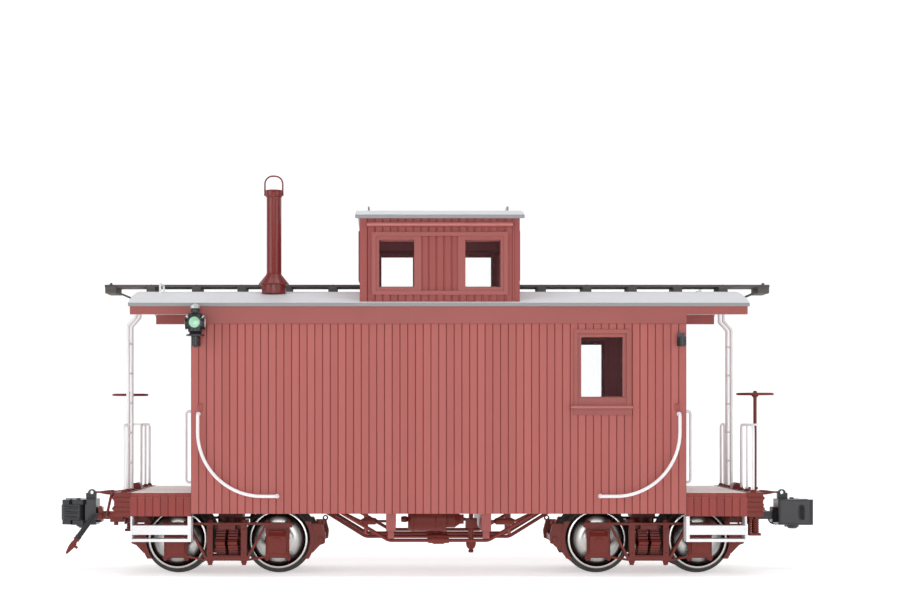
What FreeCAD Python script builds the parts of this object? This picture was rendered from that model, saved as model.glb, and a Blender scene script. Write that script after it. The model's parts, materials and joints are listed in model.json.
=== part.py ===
import FreeCAD, Part
import math
import os

# A narrow gauge model caboose, 1:20.3, as an assembly of separate pieces.
# +X runs along the car, +Y across it, +Z up. The near side is -Y and the left end is -X.
# Lengths are in millimetres. While modelling, Z is the height above the rail top; every piece
# is lifted by the flange depth as it is written, so the flanges stand on Z = 0 in the files.

# ---- driving dimensions ----
FLANGE_DEPTH = 2.25
TREAD_R = 16.25
WHEEL_OUT = 26.0
WHEEL_IN = 20.0
AXLE_R = 2.0
JOURNAL_R = 1.5
WHEELBASE = 55.06
TRUCK_X = 114.45

BODY_HALF_L = 131.5
BODY_HALF_W = 55.5
SIDING = 2.0
BODY_BOTTOM = 31.6
BOARD = 4.11
FLOOR_BOTTOM = 39.5
DECK_TOP = 42.7
DECK_BOTTOM = 40.3
PLATFORM_BOTTOM = 30.2
LETTER_BOTTOM = 132.5
FASCIA_BOTTOM = 137.5
FASCIA_OUT = 56.4

ROOF_HALF_L = 164.7
ROOF_HALF_W = 58.0
ROOF_T = 1.8
CROWN = 152.7
EAVE = 143.5
WALK_TOP = 156.4
WALK_BOTTOM = 155.0
WALK_HALF_L = 184.4

CUPOLA_X = 0.6
CUPOLA_HALF_L = 42.5
CUPOLA_TOP = 187.9
CUPOLA_ROOF_HALF_L = 44.9
CUPOLA_EAVE = 190.2
CUPOLA_CROWN = 197.2
CUPOLA_ROOF_T = 1.9

SILL_IN = 164.0
SILL_OUT = 172.5
SILL_HALF_W = 54.6
SILL_BOTTOM = 30.0
SILL_TOP = 42.9

COUPLER_PIVOT = 157.0
COUPLER_Z = 28.2
COUPLER_FACE = 209.2
SHANK_HALF_W = 2.6
SHANK_HALF_H = 2.2
KNUCKLE_X = 199.6
KNUCKLE_Y = 5.4

STAFF_X = 174.3
STAFF_Y = -20.5
LEVER_X = 175.3
LEVER_Z = 41.0
LAMP_X = -128.4
LAMP_Y = 63.0
PIPE_Y = 19.0
PIPE_Z = 36.5
PIPE_R = 0.9
PIPE_HOLE_R = 1.1
RUNNING_GAP = 0.06
GAP = 0.3

X_AXIS = FreeCAD.Vector(1, 0, 0)
Y_AXIS = FreeCAD.Vector(0, 1, 0)
Z_AXIS = FreeCAD.Vector(0, 0, 1)


# ---- shape helpers ----
def point(x, y, z):
    return FreeCAD.Vector(x, y, z)


def block(x0, x1, y0, y1, z0, z1):
    """A box between two values on each axis, given in either order."""
    low = point(min(x0, x1), min(y0, y1), min(z0, z1))
    return Part.makeBox(abs(x1 - x0), abs(y1 - y0), abs(z1 - z0), low)


def rod(start, end, radius):
    """A round bar from one point to another."""
    run = end - start
    return Part.makeCylinder(radius, run.Length, start, run)


def prism(corners, axis, low, high):
    """A flat outline extruded along an axis. The outline is in the other two axes, in order."""
    places = {
        "x": lambda a, b: point(low, a, b),
        "y": lambda a, b: point(a, low, b),
        "z": lambda a, b: point(a, b, low),
    }
    along = {"x": X_AXIS, "y": Y_AXIS, "z": Z_AXIS}[axis]
    ring = [places[axis](a, b) for a, b in corners]
    face = Part.Face(Part.makePolygon(ring + [ring[0]]))
    return face.extrude(along * (high - low))


def turned(profile, centre, axis):
    """A solid of revolution: profile points are (radius, distance along the axis)."""
    ring = [point(r, 0, d) for r, d in profile]
    face = Part.Face(Part.makePolygon(ring + [ring[0]]))
    solid = face.revolve(point(0, 0, 0), Z_AXIS, 360)
    solid.Placement = FreeCAD.Placement(centre, FreeCAD.Rotation(Z_AXIS, axis))
    return solid


def bent_rod(points, bend, radius):
    """A round bar along straight runs joined by arcs of one bend radius."""
    edges = []
    start = points[0]
    for before, corner, after in zip(points, points[1:], points[2:]):
        into = (corner - before).normalize()
        out = (after - corner).normalize()
        turn = into.getAngle(out)
        reach = bend * math.tan(turn / 2)
        arc_start = corner - into * reach
        arc_end = corner + out * reach
        inward = (out - into).normalize()
        middle = corner + inward * (bend / math.cos(turn / 2) - bend)
        if (arc_start - start).Length > 0.01:
            edges.append(Part.LineSegment(start, arc_start).toShape())
        edges.append(Part.Arc(arc_start, middle, arc_end).toShape())
        start = arc_end
    edges.append(Part.LineSegment(start, points[-1]).toShape())
    wire = Part.Wire(edges)
    ring = Part.Wire([Part.makeCircle(radius, points[0], points[1] - points[0])])
    return wire.makePipeShell([ring], True, True)


def flipped(shape):
    """The same piece at the car's other end: half a turn about the car's centre."""
    return shape.rotated(point(0, 0, 0), Z_AXIS, 180)


def across(shape):
    """The same piece on the car's other side."""
    return shape.mirror(point(0, 0, 0), Y_AXIS)


def along(shape):
    """The piece mirrored to the other end."""
    return shape.mirror(point(0, 0, 0), X_AXIS)


def both_ends(shapes):
    return shapes + [flipped(shape) for shape in shapes]


def four_corners(shapes):
    """A piece made for the right near corner, at all four corners."""
    pair = shapes + [across(shape) for shape in shapes]
    return pair + [along(shape) for shape in pair]


def fused(shapes):
    return shapes[0].multiFuse(shapes[1:]).removeSplitter() if len(shapes) > 1 else shapes[0]


def without(shape, cutters):
    return shape.cut(cutters[0].multiFuse(cutters[1:]) if len(cutters) > 1 else cutters[0])


def save(name, shapes):
    """Write one node, lifted so that the flanges stand on Z = 0."""
    solids = [solid for shape in shapes for solid in shape.Solids]
    group = Part.Compound(solids) if len(solids) > 1 else solids[0]
    group.translate(point(0, 0, FLANGE_DEPTH))
    group.exportStep("parts/" + name + ".step")
    return group


def roof_radius(half_width, rise):
    return (half_width ** 2 + rise ** 2) / (2 * rise)


ROOF_R = roof_radius(ROOF_HALF_W, CROWN - EAVE)
CUPOLA_ROOF_R = roof_radius(ROOF_HALF_W, CUPOLA_CROWN - CUPOLA_EAVE)


def roof_height(y):
    """Height of the main roof's top at a distance from the centre line."""
    return CROWN - ROOF_R + math.sqrt(ROOF_R ** 2 - y ** 2)


def arched_sheet(crown, radius, thick, x0, x1):
    """A roof sheet curved across the car."""
    length = x1 - x0
    base = point(x0, 0, crown - radius)
    outer = Part.makeCylinder(radius, length, base, X_AXIS)
    inner = Part.makeCylinder(radius - thick, length, base, X_AXIS)
    keep = block(x0, x1, -ROOF_HALF_W, ROOF_HALF_W, crown - 20, crown + 5)
    return outer.cut(inner).common(keep)


def under_arch(shape, crown, radius, thick):
    """Trim a wall to the underside of an arched roof."""
    base = point(-200, 0, crown - radius)
    return shape.common(Part.makeCylinder(radius - thick, 400, base, X_AXIS))


def under_roof(shape):
    return under_arch(shape, CROWN, ROOF_R, ROOF_T)


def above_roof(shape):
    base = point(-200, 0, CROWN - ROOF_R)
    return shape.cut(Part.makeCylinder(ROOF_R, 400, base, X_AXIS))


def boarded_outline(start, end, outer, inner, pitch, groove):
    """Plan of a wall of upright boards with a V groove at each joint, as (along, across)."""
    count = round((end - start) / pitch)
    step = (end - start) / count
    way = 1 if outer > inner else -1
    ring = [(start, inner), (start, outer)]
    for index in range(1, count):
        joint = start + index * step
        ring += [(joint - groove, outer), (joint, outer - way * groove), (joint + groove, outer)]
    return ring + [(end, outer), (end, inner)]


# ---- underframe ----
def underframe():
    pipe_hole = rod(point(0, -PIPE_Y, PIPE_Z), point(0, PIPE_Y, PIPE_Z), PIPE_HOLE_R)
    sills = []
    for side in (-1, 1):
        sill = block(-SILL_IN, SILL_IN, side * 5.0, side * 9.5, BODY_BOTTOM, FLOOR_BOTTOM)
        sills.append(sill.cut(pipe_hole))
        edge = block(-BODY_HALF_L, BODY_HALF_L, side * 49.0, side * 53.5, BODY_BOTTOM, FLOOR_BOTTOM)
        sills.append(edge)
    for end in (-1, 1):
        x = end * TRUCK_X
        for side in (-1, 1):
            arm = prism([(side * 9.5, 29.6), (side * 49.0, 35.0), (side * 49.0, FLOOR_BOTTOM),
                         (side * 9.5, FLOOR_BOTTOM)], "x", x - 5.5, x + 5.5)
            sills.append(arm.cut(pipe_line(PIPE_HOLE_R)))
        sills.append(block(x - 6.5, x + 6.5, -9.5, 9.5, 27.3, BODY_BOTTOM))
        centre = block(x - 5.5, x + 5.5, -5.0, 5.0, BODY_BOTTOM, FLOOR_BOTTOM)
        sills.append(centre)
        for side in (-1, 1):
            sills.append(block(end * 156.3, end * 163.2, side * 33.0, side * 44.2, 26.3, DECK_BOTTOM))
    bored = []
    for sill in sills:
        for end in (-1, 1):
            pin = rod(point(end * TRUCK_X, 0, 20), point(end * TRUCK_X, 0, 38), JOURNAL_R)
            sill = sill.cut(pin)
        bored.append(sill)
    return bored


def king_pins():
    pins = []
    for end in (-1, 1):
        x = end * TRUCK_X
        pin = rod(point(x, 0, 21.0), point(x, 0, 38.0), JOURNAL_R)
        head = turned([(0, 19.6), (3.0, 19.6), (3.0, 20.6), (2.2, 21.0), (0, 21.0)],
                      point(x, 0, 0), Z_AXIS)
        pins += [pin, head]
    return pins


NEEDLE_X = 25.4
NEEDLE_HALF = 2.55
NEEDLE_BOTTOM = 22.3
OUTER_ROD_Y = 50.0
INNER_ROD_Y = 15.5
INNER_KNEE_X = 39.6
ROD_R = 0.95
ROD_Z = 17.2
POST_R = 0.9


def needle_beams():
    pieces = []
    for x in (-NEEDLE_X, NEEDLE_X):
        pieces.append(block(x - NEEDLE_HALF, x + NEEDLE_HALF, -54.2, 54.2, NEEDLE_BOTTOM, BODY_BOTTOM))
        for y in (-OUTER_ROD_Y, OUTER_ROD_Y):
            pieces.append(block(x - 1.7, x + 1.7, y - 1.6, y + 1.6, ROD_Z + ROD_R, NEEDLE_BOTTOM))
    for x in (-INNER_KNEE_X, INNER_KNEE_X):
        for y in (-INNER_ROD_Y, INNER_ROD_Y):
            pieces.append(rod(point(x, y, ROD_Z + ROD_R), point(x, y, FLOOR_BOTTOM), POST_R))
    return pieces


def truss_rods():
    rods = []
    for y, knee, top in ((OUTER_ROD_Y, 26.6, 51.4), (INNER_ROD_Y, INNER_KNEE_X, 62.6)):
        for side in (-1, 1):
            line = [point(-top - 9, side * y, 37.0), point(-knee, side * y, ROD_Z),
                    point(knee, side * y, ROD_Z), point(top + 9, side * y, 37.0)]
            bar = bent_rod(line, 6.0, ROD_R)
            if y == OUTER_ROD_Y:
                bar = bar.common(block(-100, 100, -60, 60, 0, BODY_BOTTOM))
            rods.append(bar)
    return rods


def turnbuckles(rods):
    barrel = [(0, -5.6), (1.5, -5.6), (1.5, -3.6), (2.0, -2.6), (2.0, 2.6), (1.5, 3.6), (1.5, 5.6),
              (0, 5.6)]
    buckles = []
    for index, bar in enumerate(rods):
        y = (-OUTER_ROD_Y, OUTER_ROD_Y, -INNER_ROD_Y, INNER_ROD_Y)[index]
        buckles.append(turned(barrel, point(0, y, ROD_Z), X_AXIS).cut(bar))
    return buckles


# ---- floor, platforms and steps ----
def floor_boards():
    return [block(-BODY_HALF_L, BODY_HALF_L, -53.5, 53.5, FLOOR_BOTTOM, DECK_TOP)]


def platforms():
    pieces = []
    plank = boarded_outline(-54.0, 54.0, DECK_TOP, DECK_BOTTOM, 6.0, 0.25)
    deck = prism(plank, "x", BODY_HALF_L, SILL_IN)
    pieces.append(deck)
    side = prism(boarded_outline(BODY_HALF_L, SILL_IN, -54.6, -52.4, BOARD, 0.3),
                 "z", PLATFORM_BOTTOM, DECK_BOTTOM)
    pieces += [side, across(side)]
    return both_ends(pieces)


def end_sills():
    sill = block(SILL_IN, SILL_OUT, -SILL_HALF_W, SILL_HALF_W, SILL_BOTTOM, SILL_TOP)
    grooves = []
    for level in (32.6, 35.2, 37.8, 40.4):
        for side in (-1, 1):
            y = side * SILL_HALF_W
            grooves.append(block(SILL_IN, SILL_OUT, y, y - side * 0.35, level - 0.25, level + 0.25))
    notch = block(SILL_IN, SILL_OUT, -8.0, 8.0, SILL_BOTTOM, BODY_BOTTOM)
    return both_ends([without(sill, grooves + [notch])])


def platform_steps():
    """White metal steps under each platform corner: two side plates, a tread and an upper step."""
    pieces = []
    x0 = BODY_HALF_L + 1.9
    x1 = SILL_IN - 1.1
    for start, stop in ((BODY_HALF_L + 0.1, x0), (x1, x1 + 0.9)):
        pieces.append(block(start, stop, -54.5, -44.5, 16.6, PLATFORM_BOTTOM))
    pieces.append(block(x0, x1, -54.5, -44.5, 16.6, 18.2))
    pieces.append(block(x0, x1, -54.5, -53.5, 20.4, 25.3))
    pieces.append(block(x0, x1, -53.5, -44.5, 24.3, 25.3))
    return four_corners([fused(pieces)])


# ---- body ----
WINDOW_X = 86.7
WINDOW_HALF = 11.0
WINDOW_BOTTOM = 93.8
WINDOW_TOP = 125.4
DOOR_HALF = 15.0
DOOR_TOP = 128.0
END_IN = 129.5


def side_wall(side):
    outline = boarded_outline(-BODY_HALF_L, BODY_HALF_L, side * BODY_HALF_W,
                              side * (BODY_HALF_W - SIDING), BOARD, 0.35)
    wall = prism(outline, "z", BODY_BOTTOM, LETTER_BOTTOM)
    hole = block(WINDOW_X - WINDOW_HALF - 2.0, WINDOW_X + WINDOW_HALF + 2.0, side * 50, side * 60,
                 WINDOW_BOTTOM - 2.0, WINDOW_TOP + 2.0)
    return wall.cut(hole)


def letterboards():
    """The smooth top board of each side, carried out under the roof ends as the fascia."""
    outline = [(-163.9, FASCIA_BOTTOM), (-BODY_HALF_L, FASCIA_BOTTOM), (-BODY_HALF_L, LETTER_BOTTOM),
               (BODY_HALF_L, LETTER_BOTTOM), (BODY_HALF_L, FASCIA_BOTTOM), (163.9, FASCIA_BOTTOM),
               (163.9, 150.0), (-163.9, 150.0)]
    board = under_roof(prism(outline, "y", -FASCIA_OUT, -53.5))
    return [board, across(board)]


def end_walls():
    plan = [(y, x) for x, y in boarded_outline(-53.5, 53.5, BODY_HALF_L, END_IN, BOARD, 0.35)]
    wall = under_roof(prism(plan, "z", DECK_TOP, 155.0))
    doorway = block(END_IN - 1, BODY_HALF_L + 1, -DOOR_HALF, DOOR_HALF, DECK_TOP, DOOR_TOP)
    return both_ends([wall.cut(doorway)])


DOOR_IN = 129.7
DOOR_OUT = 131.2
DOOR_EDGE = 14.7
HINGE_X = 128.9
HINGE_R = 0.55


def end_door():
    """The right end's door: a framed leaf with a glazed light, two panels, hinges and knobs."""
    leaf = block(DOOR_IN, DOOR_OUT, -DOOR_EDGE, DOOR_EDGE, DECK_TOP + GAP, DOOR_TOP - GAP)
    light = block(DOOR_IN - 1, DOOR_OUT + 1, -9.5, 9.5, 92.0, 121.0)
    cuts = [light]
    for z0, z1 in ((48.0, 64.0), (68.0, 86.0)):
        cuts.append(block(DOOR_OUT - 0.5, DOOR_OUT + 1, -9.5, 9.5, z0, z1))
    leaf = without(leaf, cuts)
    outside = turned([(0, 0), (1.0, 0), (0.6, 0.5), (0.6, 1.0), (1.3, 1.6), (0.9, 2.4), (0, 2.5)],
                     point(DOOR_OUT, 12.2, 88.5), X_AXIS)
    inside = turned([(0, 0), (1.0, 0), (0.6, 0.5), (0.6, 1.0), (1.3, 1.6), (0.9, 2.4), (0, 2.5)],
                    point(DOOR_IN, 12.2, 88.5), point(-1, 0, 0))
    barrels = []
    for z in (52.0, 84.0, 116.0):
        barrel = rod(point(HINGE_X, -DOOR_EDGE, z), point(HINGE_X, -DOOR_EDGE, z + 5.0), HINGE_R)
        strap = block(HINGE_X, DOOR_IN, -DOOR_EDGE + 0.1, -DOOR_EDGE + HINGE_R, z, z + 5.0)
        barrels += [barrel, strap]
    return [fused([leaf] + barrels), outside, inside]


# ---- roof ----
def main_roof():
    sheet = arched_sheet(CROWN, ROOF_R, ROOF_T, -ROOF_HALF_L, ROOF_HALF_L)
    well = block(CUPOLA_X - CUPOLA_HALF_L + 2.0, CUPOLA_X + CUPOLA_HALF_L - 2.0,
                 -53.5, 53.5, 130, 160)
    flue = rod(point(JACK_X, JACK_Y, 130), point(JACK_X, JACK_Y, 160), JACK_R)
    return [without(sheet, [well, flue])]


WALK_HALF_W = 9.5
WALK_BAR_BOTTOM = 151.6


def running_boards():
    """Three planks each way from the cupola, on saddles, with a cross bar and braces at the end."""
    pieces = []
    plank_w = (2 * WALK_HALF_W - 2 * 0.5) / 3
    for end, start in ((1, CUPOLA_X + CUPOLA_HALF_L + 0.4), (-1, -(CUPOLA_X - CUPOLA_HALF_L) + 0.4)):
        for index in range(3):
            y = -WALK_HALF_W + index * (plank_w + 0.5)
            pieces.append(block(end * start, end * WALK_HALF_L, y, y + plank_w, WALK_BOTTOM, WALK_TOP))
        for index in range(5):
            x = end * (58.0 + index * 25.2)
            saddle = block(x - 2.4, x + 2.4, -WALK_HALF_W, WALK_HALF_W, 145, WALK_BOTTOM)
            pieces.append(above_roof(saddle))
        pieces.append(block(end * 177.8, end * (WALK_HALF_L - 0.4), -10.5, 10.5,
                            WALK_BAR_BOTTOM, WALK_BOTTOM))
        for y in (-7.5, 7.5):
            arm = prism([(end * 162.8, 145.4), (end * 177.8, WALK_BAR_BOTTOM + 0.2),
                         (end * 177.8, WALK_BAR_BOTTOM + 1.4), (end * 164.2, 147.2),
                         (end * 162.8, 147.2)], "y", y - 0.9, y + 0.9)
            hanger = under_roof(block(end * 162.8, end * 164.2, y - 0.9, y + 0.9, 147.2, 155.0))
            pieces.append(fused([arm, hanger]))
    return pieces


# ---- cupola ----
SASH_HALF = 11.9
SASH_LIGHT_HALF = 9.2
SASH_BOTTOM = 150.0
SASH_TOP = 178.9
SASH_X = 22.9


def cupola_side(side):
    outline = boarded_outline(CUPOLA_X - CUPOLA_HALF_L, CUPOLA_X + CUPOLA_HALF_L,
                              side * BODY_HALF_W, side * 53.5, BOARD, 0.35)
    wall = above_roof(prism(outline, "z", 140.0, 195.0))
    wall = under_arch(wall, CUPOLA_CROWN, CUPOLA_ROOF_R, CUPOLA_ROOF_T)
    holes = []
    for x in (CUPOLA_X - SASH_X, CUPOLA_X + SASH_X):
        holes.append(block(x - 9.7, x + 9.7, side * 50, side * 60, SASH_BOTTOM + 1.6, SASH_TOP - 1.6))
    return without(wall, holes)


def cupola_sides():
    return [cupola_side(-1), cupola_side(1)]


def cupola_ends():
    """Cross walls of the cupola, each with two fixed lights that look along the roof."""
    walls = []
    for end in (-1, 1):
        outer = CUPOLA_X + end * CUPOLA_HALF_L
        inner = outer - end * 2.0
        plan = [(y, x) for x, y in boarded_outline(-53.5, 53.5, outer, inner, BOARD, 0.35)]
        wall = above_roof(prism(plan, "z", 140.0, 200.0))
        wall = under_arch(wall, CUPOLA_CROWN, CUPOLA_ROOF_R, CUPOLA_ROOF_T)
        lights = [block(outer - 3, outer + 3, y - 9.5, y + 9.5, 158.5, 181.0) for y in (-31.0, 31.0)]
        walls.append(without(wall, lights))
    return walls


def cupola_roof():
    sheet = arched_sheet(CUPOLA_CROWN, CUPOLA_ROOF_R, CUPOLA_ROOF_T,
                         CUPOLA_X - CUPOLA_ROOF_HALF_L, CUPOLA_X + CUPOLA_ROOF_HALF_L)
    pieces = [sheet]
    for end in (-1, 1):
        x = CUPOLA_X + end * 38.6
        grab = bent_rod([point(x, -9, CUPOLA_CROWN - 0.8), point(x, -9, CUPOLA_CROWN + 2.8),
                         point(x, 9, CUPOLA_CROWN + 2.8), point(x, 9, CUPOLA_CROWN - 0.8)], 1.4, 0.5)
        pieces.append(grab.cut(sheet))
    return pieces


SASH_IN = 51.6
SASH_OUT = 53.1


def cupola_sash(side, end):
    """One sliding cupola window: a thin frame that runs behind the side wall."""
    x = CUPOLA_X + end * SASH_X
    frame = block(x - SASH_HALF, x + SASH_HALF, side * SASH_IN, side * SASH_OUT, SASH_BOTTOM, SASH_TOP)
    light = block(x - SASH_LIGHT_HALF, x + SASH_LIGHT_HALF, side * 50, side * 55,
                  SASH_BOTTOM + 2.4, SASH_TOP - 2.4)
    knob = turned([(0, 0), (0.7, 0), (0.45, 0.5), (0.8, 1.2), (0, 1.5)],
                  point(x + end * 9.9, side * SASH_IN, 154.2), point(0, -side, 0))
    return [frame.cut(light), knob]


def sash_rails():
    """Upper and lower runners of the cupola sashes, inside the side walls."""
    rails = []
    for side in (-1, 1):
        for z0, z1 in ((SASH_BOTTOM - 1.6, SASH_BOTTOM - 0.15), (SASH_TOP + 0.15, SASH_TOP + 1.6)):
            rails.append(block(CUPOLA_X - 40.3, CUPOLA_X + 40.3, side * 51.2, side * 53.5, z0, z1))
    return rails


# ---- window trim ----
def frame_bars(x0, x1, z0, z1, width, side, inner, outer):
    """A rectangular frame of four bars as one solid, on a side wall."""
    solid = block(x0, x1, side * inner, side * outer, z0, z1)
    hole = block(x0 + width, x1 - width, side * (inner - 1), side * (outer + 1), z0 + width, z1 - width)
    return solid.cut(hole)


def window_trim():
    pieces = []
    for side in (-1, 1):
        x0 = WINDOW_X - WINDOW_HALF
        x1 = WINDOW_X + WINDOW_HALF
        casing = block(x0 - 3.9, x1 + 4.3, side * BODY_HALF_W, side * (BODY_HALF_W + 0.8),
                       WINDOW_BOTTOM - 4.7, WINDOW_TOP + 4.1)
        casing = casing.cut(block(x0 - 2.0, x1 + 2.0, side * 50, side * 60,
                                  WINDOW_BOTTOM - 4.7, WINDOW_TOP + 2.0))
        pieces.append(casing)
        pieces.append(block(x0 - 5.9, x1 + 5.3, side * BODY_HALF_W, side * (BODY_HALF_W + 2.2),
                            WINDOW_BOTTOM - 6.5, WINDOW_BOTTOM - 4.7))
        pieces.append(block(x0 - 3.9, x1 + 4.9, side * BODY_HALF_W, side * (BODY_HALF_W + 0.8),
                            WINDOW_BOTTOM - 9.9, WINDOW_BOTTOM - 6.5))
        pieces.append(frame_bars(x0 - 2.0, x1 + 2.0, WINDOW_BOTTOM - 2.0, WINDOW_TOP + 2.0, 2.0,
                                 side, 53.9, 55.3))
        pieces.append(block(x0 - 2.0, x1 + 2.0, side * BODY_HALF_W, side * (BODY_HALF_W + 0.4),
                            WINDOW_BOTTOM - 4.7, WINDOW_BOTTOM - 0.6))
        outer = BODY_HALF_W + 0.7
        left = CUPOLA_X - 36.2
        right = CUPOLA_X + 36.2
        border = frame_bars(left, right, 147.8, 181.2, 2.2, side, BODY_HALF_W, BODY_HALF_W + 1.2)
        pieces.append(border)
        for end in (-1, 1):
            x = CUPOLA_X + end * SASH_X
            inner_edge = x - end * 13.2
            outer_edge = CUPOLA_X + end * 34.0
            panel = block(inner_edge, outer_edge, side * BODY_HALF_W, side * outer, 150.0, 179.0)
            light = block(x - 9.4, x + 9.4, side * 50, side * 60, SASH_BOTTOM + 1.9, SASH_TOP - 1.9)
            pieces.append(panel.cut(light))
        drip = prism([(side * BODY_HALF_W, 186.5), (side * (BODY_HALF_W + 1.4), 186.2),
                      (side * (BODY_HALF_W + 2.1), 185.5), (side * (BODY_HALF_W + 2.1), 184.8),
                      (side * (BODY_HALF_W + 1.4), 184.1), (side * BODY_HALF_W, 183.9)],
                     "x", CUPOLA_X - 38.7, CUPOLA_X + 38.7)
        pieces.append(drip)
    for end in (-1, 1):
        wall = CUPOLA_X + end * CUPOLA_HALF_L
        for y in (-31.0, 31.0):
            casing = block(wall, wall + end * 1.0, y - 11.5, y + 11.5, 156.5, 183.0)
            pieces.append(casing.cut(block(wall - 3, wall + 3, y - 9.5, y + 9.5, 158.5, 181.0)))
    return pieces


def window_panes():
    pieces = []
    for side in (-1, 1):
        pieces.append(block(WINDOW_X - WINDOW_HALF, WINDOW_X + WINDOW_HALF,
                            side * 54.3, side * 54.8, WINDOW_BOTTOM, WINDOW_TOP))
    for end in (-1, 1):
        wall = CUPOLA_X + end * CUPOLA_HALF_L
        for y in (-31.0, 31.0):
            pieces.append(block(wall - end * 1.2, wall - end * 0.7, y - 9.5, y + 9.5, 158.5, 181.0))
    return pieces


# ---- smoke jack ----
JACK_X = -89.2
JACK_Y = -30.0
JACK_R = 3.9


def smoke_jack():
    base = point(JACK_X, JACK_Y, 0)
    pipe = rod(point(JACK_X, JACK_Y, 138.0), point(JACK_X, JACK_Y, 206.3), JACK_R)
    pipe = pipe.cut(rod(point(JACK_X, JACK_Y, 137.0), point(JACK_X, JACK_Y, 210.0), JACK_R - 0.7))
    collar = turned([(JACK_R, 144.0), (6.6, 144.0), (6.6, 154.9), (JACK_R, 154.9)], base, Z_AXIS)
    collar = above_roof(collar)
    cone = turned([(JACK_R, 154.9), (8.3, 154.9), (8.3, 155.5), (JACK_R, 160.6)], base, Z_AXIS)
    band = turned([(JACK_R, 202.6), (4.55, 202.6), (4.55, 206.3), (JACK_R, 206.3)], base, Z_AXIS)
    bail_line = [point(JACK_X - 5.0, JACK_Y, 203.2), point(JACK_X - 5.0, JACK_Y, 214.0),
                 point(JACK_X + 5.0, JACK_Y, 214.0), point(JACK_X + 5.0, JACK_Y, 203.2)]
    bail = bent_rod(bail_line, 4.2, 0.45)
    return [pipe, collar, cone, band.cut(bail), bail]


# ---- ladders, railings, grab irons ----
LADDER_X = 168.0
LADDER_YS = (19.0, 33.6)
RAIL_X = 167.6
RAIL_TOP = 78.8
RAIL_R = 0.75
RAIL_POST_R = 0.65


def ladders():
    """The right end's ladder is on the far side. The stiles step inwards to end under the roof."""
    stiles = []
    for y in LADDER_YS:
        line = [point(LADDER_X, y, SILL_TOP), point(LADDER_X, y, 132.6),
                point(LADDER_X - 4.4, y, 137.6), point(LADDER_X - 4.4, y, roof_height(y))]
        stiles.append(under_roof(bent_rod(line, 1.2, 0.95)))
    rungs = []
    for index in range(5):
        z = 58.0 + index * 16.25
        rung = rod(point(LADDER_X, LADDER_YS[0], z), point(LADDER_X, LADDER_YS[1], z), 0.55)
        rungs.append(rung)
    return both_ends([fused(stiles + rungs)])


def end_railings():
    """Ladder side: a narrow hoop at the corner. Brake side: a wide one with a middle post."""
    pieces = []
    hoops = (((39.0, 52.0), ()), ((-16.0, -52.0), (-34.0,)))
    for (inner, outer), middles in hoops:
        line = [point(RAIL_X, inner, SILL_TOP), point(RAIL_X, inner, RAIL_TOP),
                point(RAIL_X, outer, RAIL_TOP), point(RAIL_X, outer, SILL_TOP)]
        hoop = bent_rod(line, 3.0, RAIL_R)
        pieces.append(hoop)
        for y in middles:
            post = rod(point(RAIL_X, y, SILL_TOP), point(RAIL_X, y, RAIL_TOP), RAIL_POST_R)
            pieces.append(post.cut(hoop))
    guide = block(RAIL_X, STAFF_X + 1.9, STAFF_Y - 0.7, STAFF_Y + 0.7, RAIL_TOP - 0.6, RAIL_TOP + 0.6)
    ring = rod(point(STAFF_X, STAFF_Y, RAIL_TOP - 0.6), point(STAFF_X, STAFF_Y, RAIL_TOP + 0.6), 2.0)
    hole = rod(point(STAFF_X, STAFF_Y, RAIL_TOP - 2), point(STAFF_X, STAFF_Y, RAIL_TOP + 2),
               STAFF_R + RUNNING_GAP)
    pieces.append(fused([guide, ring]).cut(hole).cut(hoop))
    return both_ends(pieces)


GRAB_R = 0.9


def grab_irons():
    """Curved irons on the sides, upright handrails on the ends, and a hoop on the roof."""
    pieces = []
    y = -BODY_HALF_W - 3.2
    line = [point(127.6, -BODY_HALF_W, 84.6), point(127.6, y, 84.6), point(127.6, y, 41.0),
            point(85.8, y, 41.0), point(85.8, -BODY_HALF_W, 41.0)]
    edges = []
    bend = 34.0
    run = [line[1] + point(0, 0, -1.4), line[2] + point(0, 0, bend), line[2] + point(-bend, 0, 0),
           line[3] + point(1.4, 0, 0)]
    middle = line[2] + point(-bend, 0, bend) + point(bend * 0.7071068, 0, -bend * 0.7071068)
    top_bend = Part.Arc(line[1] + point(0, 1.4, 0), line[1] + point(0, 0.41, -0.41), run[0])
    low_bend = Part.Arc(run[3], line[3] + point(0.41, 0.41, 0), line[3] + point(0, 1.4, 0))
    edges.append(Part.LineSegment(line[0], line[1] + point(0, 1.4, 0)).toShape())
    edges.append(top_bend.toShape())
    edges.append(Part.LineSegment(run[0], run[1]).toShape())
    edges.append(Part.Arc(run[1], middle, run[2]).toShape())
    edges.append(Part.LineSegment(run[2], run[3]).toShape())
    edges.append(low_bend.toShape())
    edges.append(Part.LineSegment(line[3] + point(0, 1.4, 0), line[4]).toShape())
    ring = Part.Wire([Part.makeCircle(GRAB_R, line[0], Y_AXIS)])
    corner = Part.Wire(edges).makePipeShell([ring], True, True)
    pieces.append(corner)
    upright = bent_rod([point(BODY_HALF_L, -45.0, 86.0), point(135.3, -45.0, 86.0),
                        point(135.3, -45.0, 48.0), point(BODY_HALF_L, -45.0, 48.0)], 1.6, 0.75)
    pieces.append(upright)
    hoops = []
    for sign in (1, -1):
        x = sign * 150.5
        y0 = sign * 18.5
        y1 = sign * 34.0
        top = 155.4
        hoop = bent_rod([point(x, y0, roof_height(y0) - 1), point(x, y0, top),
                         point(x, y1, top), point(x, y1, roof_height(y1) - 1)], 1.6, 0.6)
        hoops.append(above_roof(hoop))
    return four_corners(pieces) + hoops


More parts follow.
